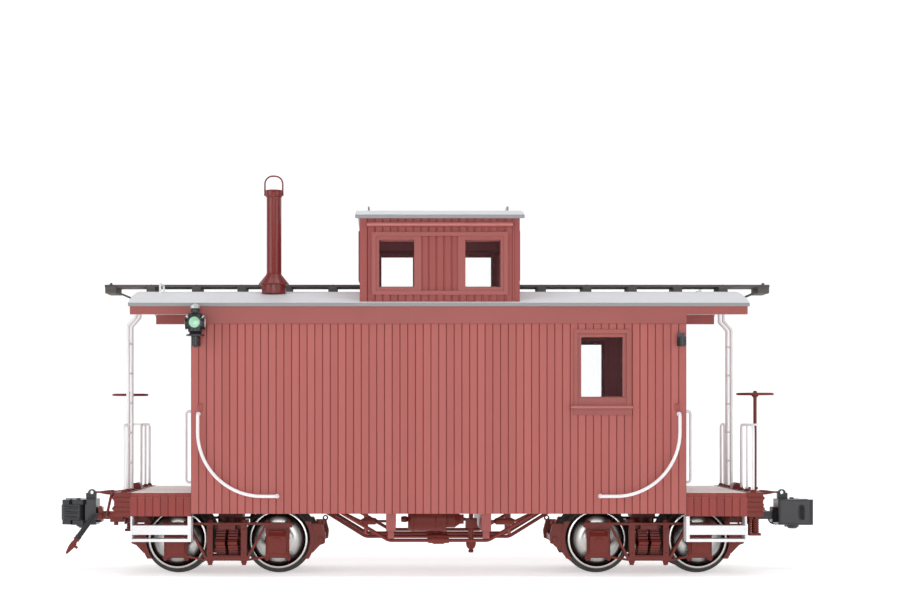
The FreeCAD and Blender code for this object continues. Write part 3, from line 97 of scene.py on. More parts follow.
RAIL = mount_place("track").z


def joint_place(name):
    return Vector(next(j["pos_m"] for j in frame["joints"] if j["name"] == name))


def at(x, y, z):
    """A place in the frame from millimetres, with z above the rail head."""
    return Vector((x * MM, y * MM, z * MM + RAIL))


def at_end(sign):
    """Places at one end of the car: the left end is the right one after a half turn."""
    return lambda x, y, z: at(sign * x, sign * y, z)


def over(foot, level):
    """The place at a level above the rail head, straight over a foot."""
    return Vector((foot.x, foot.y, level * MM + RAIL))


def spoke(part, axis="Z", start=X_WAY):
    """A way turned by part of a whole turn."""
    return Matrix.Rotation(math.tau * part, 3, axis) @ start


def metres(profile):
    """A profile of (radius, height) in millimetres, brought to metres."""
    return [(radius * MM, height * MM) for radius, height in profile]


def raised(profile):
    """A profile of (radius, level) in millimetres, with its levels above the rail head."""
    return [(radius * MM, level * MM + RAIL) for radius, level in profile]


# ---- sizes and colours that a user may change ----
def colour_choice(name, description, default):
    return bpy.props.FloatVectorProperty(name=name, description=description, default=default,
                                         subtype="COLOR", size=3, min=0.0, max=1.0)


def length_choice(name, description, default):
    return bpy.props.FloatProperty(name=name, description=description, default=default,
                                   subtype="DISTANCE", unit="LENGTH", min=0.0)


class CABOOSE_PG_finish(bpy.types.PropertyGroup):
    """Paint and metal colours."""
    body: colour_choice("Body", "Painted siding, doors and trim", (0.375, 0.094, 0.082))
    # Lighter than the outer body red: painted light for the dim inside of the car.
    body_inside_lit: colour_choice("Body inside", "Painted inner faces of the walls", (0.52, 0.15, 0.16))
    frame_red: colour_choice("Underframe", "Trucks, sills, brake gear and tanks", (0.165, 0.019, 0.012))
    roof: colour_choice("Roof", "Roof sheets", (0.80, 0.80, 0.83))
    # Roof edge: the colour of the roof's sideways faces.
    roof_edge: colour_choice("Roof edge", "Bare edge of the roof sheets", (0.27, 0.27, 0.275))
    walk: colour_choice("Running boards", "Planks and saddles on the roof", (0.105, 0.095, 0.088))
    deck: colour_choice("Deck", "Platform planks", (0.96, 0.90, 0.87))
    jack: colour_choice("Smoke jack", "Painted stove pipe", (0.19, 0.022, 0.019))
    white: colour_choice("Safety white", "Steps, ladders, railings and grab irons", (0.83, 0.83, 0.84))
    black: colour_choice("Coupler black", "Couplers and their lift gear", (0.016, 0.0165, 0.020))
    lamp: colour_choice("Lamp black", "Marker lamps and brackets", (0.014, 0.015, 0.018))
    lens: colour_choice("Lens", "Green marker lenses", (0.33, 0.63, 0.42))
    steel: colour_choice("Wheel steel", "Turned faces of the wheels", (0.56, 0.55, 0.53))
    tread: colour_choice("Wheel tread", "Blackened treads and flanges", (0.055, 0.052, 0.050))


class CABOOSE_PG_sizes(bpy.types.PropertyGroup):
    """Sizes of the fittings."""
    edge: length_choice("Edge radius", "Rounding of painted edges", 0.00018)
    nut: length_choice("Nut radius", "Corner radius of the larger nuts", 0.0017)
    rivet: length_choice("Rivet radius", "Radius of rivet and screw heads", 0.00042)
    glass: length_choice("Glass", "Thickness of the window glass", 0.0004)


class CABOOSE_PG_studio(bpy.types.PropertyGroup):
    """Light and camera."""
    lens: bpy.props.FloatProperty(name="Lens", description="Focal length of the camera", default=77.2,
                                  subtype="DISTANCE_CAMERA", min=10.0)
    distance: length_choice("Distance", "From the camera to the middle of the car", 1.08)
    height: length_choice("Height", "Camera height above the rails", 0.083)
    key: bpy.props.FloatProperty(name="Key light", description="Power of the two front lights", default=6.5,
                                 subtype="POWER", unit="POWER", min=0.0)
    fill: bpy.props.FloatProperty(name="Top light", description="Power of the overhead light", default=6.0,
                                  subtype="POWER", unit="POWER", min=0.0)


# ---- shader nodes ----
class Wire:
    """An output of a shader node. Arithmetic on it adds Math nodes."""

    def __init__(self, finish, socket):
        self.finish = finish
        self.socket = socket

    def __add__(self, other):
        return self.finish.math("ADD", self, other)

    def __sub__(self, other):
        return self.finish.math("SUBTRACT", self, other)

    def __rsub__(self, other):
        return self.finish.math("SUBTRACT", other, self)

    def __mul__(self, other):
        return self.finish.math("MULTIPLY", self, other)

    def __truediv__(self, other):
        return self.finish.math("DIVIDE", self, other)

    def __abs__(self):
        return self.finish.math("ABSOLUTE", self)

    __radd__ = __add__
    __rmul__ = __mul__


class Finish:
    """A material under construction, with one Principled shader."""

    def __init__(self, name, **constants):
        self.material = bpy.data.materials.new(name)
        self.material.use_nodes = True
        self.tree = self.material.node_tree
        self.shader = self.tree.nodes["Principled BSDF"]
        for key, value in constants.items():
            self.shader.inputs[key.replace("_", " ")].default_value = value
        self.place = self.node("ShaderNodeTexCoord", output="Object")

    def node(self, kind, settings=None, sockets=None, output=0):
        """Adds a node: its settings first, then the values or links of its sockets."""
        made = self.tree.nodes.new(kind)
        for key, value in (settings or {}).items():
            setattr(made, key, value)
        for key, value in (sockets or {}).items():
            self.link(made.inputs[key], value)
        return Wire(self, made.outputs[output])

    def link(self, socket, value):
        if isinstance(value, Wire):
            self.tree.links.new(value.socket, socket)
        else:
            socket.default_value = value

    def math(self, operation, *values):
        return self.node("ShaderNodeMath", {"operation": operation}, dict(enumerate(values)))

    def clamped(self, value):
        return self.node("ShaderNodeClamp", None, {"Value": value})

    def noise(self, scale, detail=3.0, stretch=None):
        place = self.place
        if stretch:
            place = self.node("ShaderNodeMapping", None, {"Vector": place, "Scale": stretch})
        return self.node("ShaderNodeTexNoise", None, {"Vector": place, "Scale": scale, "Detail": detail})

    def along(self, axis):
        return self.node("ShaderNodeSeparateXYZ", None, {0: self.place}, output=axis)

    def boards(self, axis, start, pitch):
        """The number of each board in a row, and how far inside its board a place is: 0 at a joint."""
        run = (self.along(axis) - start * MM) / (pitch * MM)
        return self.math("FLOOR", run), 0.5 - abs(self.math("FRACT", run) - 0.5)

    def tone(self, index):
        """A random tone for each board."""
        return self.node("ShaderNodeTexWhiteNoise", {"noise_dimensions": "1D"}, {"W": index})

    def colour(self, factor, first, second):
        return self.node("ShaderNodeMix", {"data_type": "RGBA"}, {0: factor, 6: first, 7: second}, output=2)

    def shades(self, factor, colour, low, high):
        """A colour that runs between two shades of itself."""
        return self.colour(factor, shade(colour, low), shade(colour, high))

    def upward(self):
        """How far the surface faces up, from -1 to 1."""
        normal = self.node("ShaderNodeNewGeometry", output="Normal")
        return self.node("ShaderNodeSeparateXYZ", None, {0: normal}, output="Z")

    def rounded(self, radius):
        return self.node("ShaderNodeBevel", {"samples": 4}, {"Radius": radius})

    def edges(self, rounded, gain):
        """Strong where the rounded normal leaves the flat one, which is along the edges."""
        flat = self.node("ShaderNodeNewGeometry", output="Normal")
        dot = self.node("ShaderNodeVectorMath", {"operation": "DOT_PRODUCT"}, {0: rounded, 1: flat},
                        output="Value")
        return self.clamped((1 - dot) * gain)

    def bump(self, height, strength, distance, normal=None):
        sockets = {"Height": height, "Strength": strength, "Distance": distance}
        if normal is not None:
            sockets["Normal"] = normal
        return self.node("ShaderNodeBump", None, sockets)

    def finished(self, **sockets):
        for key, value in sockets.items():
            self.link(self.shader.inputs[key.replace("_", " ")], value)
        return self.material


def shade(colour, factor):
    return (*(min(1.0, channel * factor) for channel in colour), 1.0)


def paint(name, colour, rough, worn_and_highlight, coat=0.15):
    """Sprayed paint on metal or plastic: a soft mottle, fine texture and lighter edges, partly wear and partly
    painted highlight.
    """
    finish = Finish(name, Coat_Weight=coat, Coat_Roughness=0.25, Specular_IOR_Level=0.32)
    broad = finish.noise(45.0)
    fine = finish.noise(900.0, 4.0)
    rounded = finish.rounded(bpy.context.scene.caboose_sizes.edge)
    # Lighter edges: part wear, part painted highlight where the rounded normal turns from the flat one.
    edge_wear_and_highlight = finish.edges(rounded, 3.0) * (0.35 + 0.65 * broad)
    base = finish.colour(edge_wear_and_highlight, finish.shades(broad, colour, 0.86, 1.12), shade(colour, worn_and_highlight))
    normal = finish.bump(fine + 0.4 * broad, 0.25, 0.00006, rounded)
    return finish.finished(Base_Color=base, Roughness=rough - 0.06 + 0.16 * fine, Normal=normal)


def siding(name, colour, dark, axis, start, inside_axis, inside):
    """Tongue and groove boards: each has its own tone, a fine vertical grain and dark joints."""
    finish = Finish(name, Coat_Weight=0.08, Coat_Roughness=0.35, Specular_IOR_Level=0.4)
    index, edge = finish.boards(axis, start, BOARD)
    tone = finish.tone(index)
    grain = finish.noise(1500.0, 5.0, (1, 1, 0.06))
    board = finish.shades(tone, colour, 0.92, 1.07)
    board = finish.colour(0.5 * finish.noise(30.0) + 0.3 * grain, board, shade(colour, 1.16))
    board = finish.colour(finish.clamped(1 - edge / 0.075) * 0.72, board, shade(colour, 0.30))
    hidden = finish.math("LESS_THAN", abs(finish.along(inside_axis)), inside * MM)
    board = finish.colour(hidden, board, shade(dark, 1.0))
    height = finish.clamped(edge / 0.06) + 0.10 * grain
    normal = finish.bump(height, 0.5, 0.00016, finish.rounded(0.00022))
    return finish.finished(Base_Color=board, Roughness=0.46 + 0.18 * grain - 0.08 * tone, Normal=normal)


def roof_paint(name, top, edge):
    """Smooth grey roof with faint brush marks along it and a darker rim where the faces turn sideways."""
    finish = Finish(name, Coat_Weight=0.05, Coat_Roughness=0.3, Specular_IOR_Level=0.4)
    # Darker where the sheets face sideways rather than up or down.
    rim = finish.clamped((0.55 - abs(finish.upward())) * 8.0)
    brushed = finish.noise(420.0, 4.0, (0.10, 1, 1))
    broad = finish.noise(18.0, 4.0)
    speck = finish.noise(2600.0, 2.0)
    base = finish.shades(brushed, top, 0.93, 1.05)
    base = finish.colour(finish.clamped((broad - 0.52) * 2.0), base, shade(top, 0.84))
    base = finish.colour(rim, base, finish.shades(speck, edge, 0.75, 1.3))
    normal = finish.bump(brushed + 0.5 * speck, 0.2, 0.00008, finish.rounded(0.0003))
    return finish.finished(Base_Color=base, Roughness=0.44 + 0.2 * brushed, Normal=normal)


def platform_finish(name, deck, side, dark):
    """Pale deck planks on top, siding boards on the outer face."""
    finish = Finish(name, Specular_IOR_Level=0.35)
    grain = finish.noise(900.0, 5.0, (1, 0.08, 1))
    _, edge = finish.boards("Y", -DECK_HALF, DECK_PLANK)
    top = finish.shades(grain, deck, 0.95, 1.06)
    top = finish.colour(finish.clamped(1 - edge / 0.05) * 0.5, top, shade(deck, 0.45))
    index, edge = finish.boards("X", WALL_HALF, BOARD)
    board = finish.shades(finish.tone(index), side, 0.9, 1.1)
    board = finish.colour(finish.clamped(1 - edge / 0.075) * 0.6, board, shade(side, 0.35))
    inner = finish.math("LESS_THAN", abs(finish.along("Y")), 52.6 * MM)
    board = finish.colour(inner, board, shade(dark, 1.0))
    base = finish.colour(finish.clamped((finish.upward() - 0.5) * 8.0), board, top)
    normal = finish.bump(grain, 0.3, 0.00008, finish.rounded(0.0002))
    return finish.finished(Base_Color=base, Roughness=0.45 + 0.2 * grain, Normal=normal)


def planks(name, colour, pitch=None):
    """Weathered planks that run along X: long streaks of grain, paler edges and perhaps joints."""
    finish = Finish(name, Specular_IOR_Level=0.3)
    grain = finish.noise(1300.0, 6.0, (0.07, 1, 1))
    rounded = finish.rounded(0.0002)
    base = finish.shades(finish.clamped((grain - 0.35) * 2.2), colour, 0.7, 1.3)
    base = finish.colour(0.5 * finish.noise(60.0), base, shade(colour, 1.0))
    base = finish.colour(finish.edges(rounded, 2.5) * 0.6, base, shade(colour, 1.9))
    height = grain
    if pitch:
        _, edge = finish.boards("Y", 0.0, pitch)
        base = finish.colour(finish.clamped(1 - edge / 0.07) * 0.6, base, shade(colour, 0.4))
        height = grain * 0.3 + finish.clamped(edge / 0.06)
    normal = finish.bump(height, 0.4, 0.0001, rounded)
    return finish.finished(Base_Color=base, Roughness=0.55 + 0.2 * grain, Normal=normal)


def turned_steel(name, colour, centre):
    """Lathe-turned steel: fine rings round the axle, faint smudges and a dish darkened with painted shade,
    standing in for the dark surroundings it reflects.
    """
    finish = Finish(name, Metallic=1.0, Specular_IOR_Level=0.5)
    dx = finish.along("X") - centre.x
    dz = finish.along("Z") - centre.z
    radius = finish.math("SQRT", dx * dx + dz * dz)
    rings = finish.node("ShaderNodeTexNoise", {"noise_dimensions": "1D"},
                        {"W": radius, "Scale": 9000.0, "Detail": 3.0})
    smudge = finish.noise(140.0, 4.0)
    base = finish.shades(smudge, colour, 0.85, 1.12)
    base = finish.colour(rings * 0.3, base, shade(colour, 0.75))
    # Painted shade: the dish between these radii is darkened, standing in for the dark surroundings that it
    # reflects.
    outward = finish.clamped((radius - SHADED_DISH_START * MM) / (3.0 * MM))
    inward = finish.clamped((SHADED_DISH_STOP * MM - radius) / (0.3 * MM))
    base = finish.colour(outward * inward * 0.86, base, shade(colour, 0.13))
    normal = finish.bump(rings, 0.12, 0.00003)
    return finish.finished(Base_Color=base, Roughness=0.17 + 0.10 * smudge + 0.05 * rings, Normal=normal)


def blackened_steel(name, colour):
    finish = Finish(name, Metallic=0.9, Specular_IOR_Level=0.5)
    smudge = finish.noise(260.0, 4.0)
    normal = finish.bump(finish.noise(2400.0), 0.15, 0.00003)
    return finish.finished(Base_Color=finish.shades(smudge, colour, 0.6, 1.9),
                           Roughness=0.34 + 0.2 * smudge, Normal=normal)


def clear_glass(name):
    finish = Finish(name, IOR=1.45, Specular_IOR_Level=0.5)
    smudge = finish.noise(90.0)
    base = finish.colour(smudge, (0.02, 0.03, 0.05, 1.0), (0.05, 0.06, 0.08, 1.0))
    return finish.finished(Base_Color=base, Roughness=0.03 + 0.08 * smudge, Alpha=0.012 + 0.02 * smudge)


def lens_glass(name, colour):
    """Moulded coloured glass: a faint cloud and a darker rim of painted shade, which grows as the face turns from
    the view, under a glossy face.
    """
    finish = Finish(name, IOR=1.5, Coat_Weight=0.8, Coat_Roughness=0.04, Specular_IOR_Level=0.6)
    cloud = finish.noise(500.0)
    # Painted shade: the colour darkens where the lens turns away from the view.
    rim = finish.node("ShaderNodeLayerWeight", None, {"Blend": 0.35}, output="Facing")
    base = finish.colour(rim * 0.6, finish.shades(cloud, colour, 0.80, 1.18), shade(colour, 0.5))
    normal = finish.bump(cloud, 0.2, 0.00004)
    return finish.finished(Base_Color=base, Roughness=0.16 + 0.10 * cloud, Normal=normal)


def rubber(name, colour):
    finish = Finish(name, Specular_IOR_Level=0.35)
    broad = finish.noise(150.0)
    normal = finish.bump(finish.noise(3200.0), 0.3, 0.00005)
    return finish.finished(Base_Color=finish.shades(broad, colour, 0.7, 2.0),
                           Roughness=0.5 + 0.2 * broad, Normal=normal)


FINISHES = {}


# ---- shaping ----
def toward(way):
    return way.to_track_quat("Z", "Y").to_matrix().to_4x4()


def verts_in(geom):
    return [item for item in geom if isinstance(item, bmesh.types.BMVert)]


def edges_in(geom):
    return [item for item in geom if isinstance(item, bmesh.types.BMEdge)]


def edges_at(verts):
    return list({edge for vert in verts for edge in vert.link_edges})


def whole_turn(shape, geom, place, way, steps):
    bmesh.ops.spin(shape, geom=geom, cent=place, axis=way, angle=math.tau, steps=steps, use_merge=True,
                   use_duplicate=False)


def slab(shape, low, high, bevel=0.00025):
    """A box between two corners with rounded edges."""
    size = high - low
    place = Matrix.Translation((low + high) / 2) @ Matrix.Diagonal((*size, 1.0))
    made = bmesh.ops.create_cube(shape, size=1.0, matrix=place)
    if bevel:
        bmesh.ops.bevel(shape, geom=edges_at(made["verts"]), offset=min(bevel, min(size) * 0.3),
                        offset_type="OFFSET", segments=2, profile=0.5, affect="EDGES", material=-1)


def between(shape, first, second, bevel=0.0002):
    """A box between any two opposite corners."""
    slab(shape, Vector(map(min, first, second)), Vector(map(max, first, second)), bevel)


def disc(shape, place, way, radius, depth, sides=24, tip=None):
    """A short cylinder or cone that starts at a place and runs along a way."""
    middle = Matrix.Translation(place + way * depth / 2) @ toward(way)
    bmesh.ops.create_cone(shape, cap_ends=True, cap_tris=False, segments=sides, radius1=radius,
                          radius2=radius if tip is None else tip, depth=depth, matrix=middle)


def nut(shape, place, way, radius, depth=None):
    """A washer, a hexagon nut and the end of its bolt."""
    depth = depth or radius * 0.9
    washer = radius * 0.16
    disc(shape, place, way, radius * 1.25, washer, sides=14)
    disc(shape, place + way * washer, way, radius, depth * 0.7, sides=6)
    disc(shape, place + way * (washer + depth * 0.7), way, radius, depth * 0.2, sides=6, tip=radius * 0.8)
    disc(shape, place + way * (washer + depth * 0.9), way, radius * 0.5, depth * 0.45, sides=8,
         tip=radius * 0.36)


def rivet(shape, place, way, radius):
    """A low domed head, half sunk in its seat."""
    disc(shape, place - way * radius * 0.2, way, radius, radius * 0.5, sides=8)
    disc(shape, place + way * radius * 0.3, way, radius, radius * 0.35, sides=8, tip=radius * 0.5)


def lathe(shape, profile, place, way, steps):
    """Spins a profile of (radius, height) round an axis; poles on the axis are closed."""
    seat = Matrix.Translation(place) @ toward(way)
    verts = [shape.verts.new(seat @ Vector((radius, 0, height))) for radius, height in profile]
    edges = [shape.edges.new(pair) for pair in zip(verts, verts[1:])]
    whole_turn(shape, verts + edges, place, way, steps)


def hoop(shape, place, way, ring, radius, steps, sides):
    """A torus: a small circle spun round an axis."""
    turn = toward(way)
    start = (Matrix.Translation(place + turn @ Vector((ring, 0, 0))) @ turn
             @ Matrix.Rotation(math.pi / 2, 4, "X"))
    made = bmesh.ops.create_circle(shape, cap_ends=False, segments=sides, radius=radius, matrix=start)
    whole_turn(shape, made["verts"] + edges_at(made["verts"]), place, way, steps)


def bar(shape, points, radius, bend=0.0, sides=12, arc_steps=8):
    """A round bar through the points, with a spun bend at each inner one."""
    points = [Vector(p) for p in points]
    here = points[0]
    way = (points[1] - here).normalized()
    start = Matrix.Translation(here) @ toward(way)
    made = bmesh.ops.create_circle(shape, cap_ends=True, segments=sides, radius=radius, matrix=start)
    edges = edges_at(made["verts"])
    for index, corner in enumerate(points[1:], 1):
        last = index == len(points) - 1
        cut = 0.0
        if not last:
            after = (points[index + 1] - corner).normalized()
            turn = way.angle(after)
            cut = bend * math.tan(turn / 2)
        made = bmesh.ops.extrude_edge_only(shape, edges=edges)
        ring, edges = verts_in(made["geom"]), edges_in(made["geom"])
        stop = corner - way * cut
        bmesh.ops.translate(shape, verts=ring, vec=stop - here)
        if last:
            break
        axis = way.cross(after).normalized()
        centre = stop + axis.cross(way) * bend
        made = bmesh.ops.spin(shape, geom=ring + edges, cent=centre, axis=axis, angle=turn,
                              steps=arc_steps, use_merge=False, use_duplicate=False)
        edges = edges_in(made["geom_last"])
        here = corner + after * cut
        way = after
    bmesh.ops.contextual_create(shape, geom=edges)


def publish(name, shape, finishes, body, replaces=(), assign=None):
    """Makes the finished shape a piece that rides on a body."""
    bmesh.ops.remove_doubles(shape, verts=shape.verts, dist=WELD)
    bmesh.ops.recalc_face_normals(shape, faces=shape.faces)
    if assign:
        for face in shape.faces:
            face.material_index = assign(face.calc_center_median())
    mesh = bpy.data.meshes.new(name)
    shape.to_mesh(mesh)
    shape.free()
    for finish in finishes:
        mesh.materials.append(FINISHES[finish])
    mesh.polygons.foreach_set("use_smooth", [True] * len(mesh.polygons))
    mesh.set_sharp_from_angle(angle=SHARP)
    piece = bpy.data.objects.new(name, mesh)
    bpy.context.scene.collection.objects.link(piece)
    if replaces:
        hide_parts(*replaces)
    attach(piece, body)


def middle_of(node):
    low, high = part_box(node)
    return (low + high) / 2


# ---- operators ----
class CABOOSE_OT_paint(bpy.types.Operator):
    """Mix the finishes and give each carried-over piece its own"""
    bl_idname = "caboose.paint"
    bl_label = "Paint"

    def execute(self, context):
        tone = context.scene.caboose_finish
        # The inside colour is lighter than the outer paint: painted light for the dim interior.
        body, dark = tone.body, tone.body_inside_lit
        # The cupola's siding takes a darker copy of the body red: painted shade for the weaker light high up on
        # the car.
        shaded_upper = (0.76 * body[0], 0.62 * body[1], 0.63 * body[2])
        lower = (0.72 * body[0], 0.50 * body[1], 0.48 * body[2])
        # The trim takes a darker copy of the body red: painted shade matched to the letterboards under the eaves,
        # worn by all the trim.
        trim = (0.85 * body[0], 0.80 * body[1], 0.80 * body[2])
        mixes = {
            siding: {
                "siding_x": (body, dark, "X", -WALL_HALF, "Y", SIDE_INNER),
                "siding_y": (body, dark, "Y", -BOARD_HALF, "X", END_INNER),
                "cupola_x": (shaded_upper, dark, "X", CUPOLA_MIDDLE - CUPOLA_HALF, "Y", SIDE_INNER),
                "cupola_y": (shaded_upper, dark, "Y", -BOARD_HALF, "X", CUPOLA_INNER),
            },
            paint: {
                "body": (trim, 0.40, 1.28),
                "frame_red": (tone.frame_red, 0.42, 1.7, 0.06),
                # The rounded sills: a lighter copy of the body red under a clear coat; the lighter colour is
                # painted highlight.
                "gloss": (shade(body, 1.15)[:3], 0.22, 1.15, 1.0),
                "jack": (tone.jack, 0.28, 1.6, 0.3),
                "white": (tone.white, 0.30, 1.08, 0.3),
                "black": (tone.black, 0.30, 3.2, 0.35),
                "lamp": (tone.lamp, 0.26, 3.0, 0.4),
            },
            platform_finish: {"platform": (tone.deck, lower, dark)},
            roof_paint: {"roof": (tone.roof, tone.roof_edge)},
            planks: {"walk": (tone.walk,), "deck": (tone.deck, DECK_PLANK)},
            blackened_steel: {"bright": (tone.steel,), "tread": (tone.tread,)},
            rubber: {"shadow": (shade(tone.black, 0.25)[:3],), "rubber": (tone.black,)},
            lens_glass: {"lens": (tone.lens,), "clear_lens": ((0.78, 0.80, 0.84),)},
            clear_glass: {"glass": ()},
        }
        for mix, named in mixes.items():
            for name, values in named.items():
                FINISHES[name] = mix(name, *values)
        wearers = {
            "siding_x": ("side_wall",), "siding_y": ("end_walls",),
            "cupola_x": ("cupola_sides",), "cupola_y": ("cupola_ends",),
            "body": ("letterboards", "window_trim", "needle_beams", "door_", "cupola_sash"),
            "roof": ("main_roof", "cupola_roof"), "walk": ("running_boards",), "deck": ("floor",),
            "platform": ("platforms",), "jack": ("smoke_jack",), "tread": ("wheelset",),
            "white": ("platform_steps", "ladders", "end_railings", "grab_irons"),
            "black": ("coupler_left", "coupler_right", "knuckle_left", "knuckle_right"),
            "lamp": ("marker_brackets", "marker_lamp_"), "lens": ("marker_lenses",),
            "glass": ("window_panes",), "rubber": ("air_hoses",),
        }
        for name, node in frame["nodes"].items():
            chosen = next((key for key, starts in wearers.items() if name.startswith(starts)), "frame_red")
            for held in node.material_slots:
                held.material = FINISHES[chosen]
        return {"FINISHED"}


class CABOOSE_OT_wheelsets(bpy.types.Operator):
    """Turn the four wheelsets: dished faces, rim rings, flanged treads and axle collars"""
    bl_idname = "caboose.wheelsets"
    bl_label = "Wheelsets"

    def execute(self, context):
        tone = context.scene.caboose_finish
        for truck, _ in ENDS:
            for axle, _ in ENDS:
                node = f"wheelset_{truck}_{axle}"
                centre = middle_of(node)
                low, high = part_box(node)
                flange = (high.z - low.z) / 2 / MM
                tip = high.y / MM
                steel = f"steel_{truck}_{axle}"
                FINISHES[steel] = turned_steel(steel, tone.steel, centre)
                shape = bmesh.new()
                wheel = [(2.0, 20.0), (8.0, 20.0), (8.6, 20.5), (13.0, 20.7), (13.6, 20.0), (17.4, 20.0),
                         (flange - 0.25, 20.2), (flange, 20.75), (flange - 0.2, 21.15),
                         (17.0, 21.55), (16.6, 21.9), (16.4, 22.4), (16.25, 25.5), (16.1, 25.85),
                         (15.8, 26.0), (14.9, 26.0), (14.7, 25.85), (14.5, 25.2), (14.1, 24.55),
                         (13.5, 24.1), (12.0, 23.8), (10.0, 23.75), (8.2, 23.95), (6.8, 24.5),
                         (5.8, 25.2), (5.2, 25.7), (4.7, 26.2), (3.6, 26.4), (2.9, 26.3), (2.0, 26.0)]
                collar = [(0, 26.2), (2.3, 26.2), (2.3, 26.9), (1.5, 27.1), (1.5, tip - 0.2), (1.3, tip),
                          (0, tip)]
                for _, side in SIDES:
                    way = Vector((0, side, 0))
                    lathe(shape, metres(wheel), centre, way, steps=96)
                    lathe(shape, metres(collar), centre, way, steps=32)
                axle_line = [(0, -26.2), (2.1, -26.2), (2.1, -19.0), (1.8, -17.0), (1.8, 17.0), (2.1, 19.0),
                             (2.1, 26.2), (0, 26.2)]
                lathe(shape, metres(axle_line), centre, Y_WAY, steps=32)

                def surface(place, middle=centre):
                    off = Vector((place.x - middle.x, place.z - middle.z)).length
                    rim = off < RIM_STOP * MM and abs(place.y) > 25.6 * MM
                    plate = off < SHADED_DISH_STOP * MM and abs(place.y) > 22.4 * MM
                    return 0 if rim or plate else 1

                publish(node + "_turned", shape, (steel, "tread"), node, [node], surface)
        return {"FINISHED"}


class CABOOSE_OT_trucks(bpy.types.Operator):
    """Fit the trucks with column nuts, journal bolts, box lids and rivets"""
    bl_idname = "caboose.trucks"
    bl_label = "Truck fittings"

    def execute(self, context):
        sizes = context.scene.caboose_sizes
        small = sizes.nut * 0.72
        lid = [(0, 0), (2.5, 0), (2.7, 0.35), (2.3, 0.62), (1.9, 0.45), (0, 0.42)]
        for end, _ in ENDS:
            centre = middle_of(f"truck_frame_{end}")
            shape = bmesh.new()

            def spot(x, y, z, middle=centre):
                return Vector((middle.x + x * MM, y * MM, z * MM + RAIL))

            for _, side in SIDES:
                out = Vector((0, side, 0))
                for x in (-9.2, 9.2):
                    nut(shape, spot(x, side * 32.0, 25.7), Z_WAY, sizes.nut, 1.4 * MM)
                    nut(shape, spot(x, side * 32.0, 5.1), -Z_WAY, sizes.nut, 1.5 * MM)
                    for z in (9.2, 22.4):
                        rivet(shape, spot(x, side * 34.4, z), out, sizes.rivet * 1.2)
                for axle in (-AXLE_STEP, AXLE_STEP):
                    for x in (axle - 5.85, axle + 5.85):
                        nut(shape, spot(x, side * 32.4, 25.7), Z_WAY, small)
                        nut(shape, spot(x, side * 32.4, 6.6), -Z_WAY, small)
                        disc(shape, spot(x, side * 34.2, 7.2), Z_WAY, 0.62 * MM, 15.4 * MM, sides=12)
                    lean = Vector((0, side * 0.985, -0.17)).normalized()
                    lathe(shape, metres(lid), spot(axle, side * 37.3, 15.4), lean, steps=28)
                    between(shape, spot(axle - 3.6, side * 35.0, 20.4), spot(axle + 3.6, side * 36.6, 21.5),
                            0.00025)
                    between(shape, spot(axle - 5.2, side * 35.2, 8.4), spot(axle + 5.2, side * 35.7, 9.4),
                            0.00025)
                for x in (-3.35, 3.35):
                    between(shape, spot(x - 1.3, side * 36.9, 13.6), spot(x + 1.3, side * 27.0, 15.9),
                            0.0003)
            publish(f"truck_fittings_{end}", shape, ("frame_red",), f"truck_{end}")
        return {"FINISHED"}


class CABOOSE_OT_marker_lamps(bpy.types.Operator):
    """Build the marker lamps: stepped cap, four lens barrels, flanged base and stem"""
    bl_idname = "caboose.marker_lamps"
    bl_label = "Marker lamps"

    def execute(self, context):
        case = [(0, 119.8), (1.14, 119.8), (1.14, 125.4), (4.8, 125.6), (4.9, 126.4), (3.4, 126.8),
                (3.1, 127.3), (3.9, 128.2), (3.9, 136.8), (4.3, 137.3), (2.9, 137.6), (2.3, 138.2),
                (2.3, 139.6), (2.7, 140.0), (2.6, 140.2), (2.4, 141.4), (1.8, 142.0)]
        barrel = [(0, 1.4), (3.5, 1.4), (3.5, 4.5), (3.8, 4.7), (3.8, 5.15), (3.3, 5.2), (3.0, 4.9),
                  (3.0, 4.4), (0, 4.3)]
        dome = [(0, 4.25), (3.0, 4.25), (3.0, 4.75), (2.75, 5.05), (2.3, 5.28), (1.7, 5.45), (0.9, 5.56),
                (0, 5.6)]
        for side, _ in SIDES:
            body = f"marker_lamp_{side}"
            _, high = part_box(body)
            pivot = joint_place(f"lamp_{side}_turn")
            middle = over(pivot, LAMP_LEVEL)
            shape = bmesh.new()
            lenses = bmesh.new()
            lathe(shape, raised(case) + [(0, high.z)], Vector((pivot.x, pivot.y, 0.0)), Z_WAY, steps=40)
            for turn in range(4):
                way = spoke(turn / 4)
                lathe(shape, metres(barrel), middle, way, steps=32)
                lathe(lenses, metres(dome), middle, way, steps=40)
                corner = spoke((turn + 0.5) / 4)
                for level in (129.2, 136.2):
                    rivet(shape, over(pivot, level) + corner * 3.85 * MM, corner, 0.35 * MM)

            def capped(place):
                return 1 if place.z > CAP_LEVEL * MM + RAIL else 0

            def tinted(place, front=middle.y):
                return 0 if abs(place.y - front) > 4.0 * MM else 1

            publish(f"lamp_{side}_case", shape, ("lamp", "bright"), body, [body], capped)
            hoods = bmesh.new()
            for turn in (0, 2):
                way = spoke(turn / 4)
                for span in (-1.9, -0.7, 0.7, 1.9):
                    rise = 1.5 - 0.28 * span * span
                    seat = middle + way * 3.7 * MM + Vector((0, span * MM, (2.3 + rise * 0.5) * MM))
                    disc(hoods, seat, (way + Z_WAY * 0.35).normalized(), 0.75 * MM, 1.5 * MM, sides=12,
                         tip=0.35 * MM)
            publish(f"lamp_{side}_hoods", hoods, ("bright",), body)
            publish(f"lamp_{side}_lenses", lenses, ("lens", "clear_lens"), body,
                    [f"marker_lenses_{side}"], tinted)
        return {"FINISHED"}


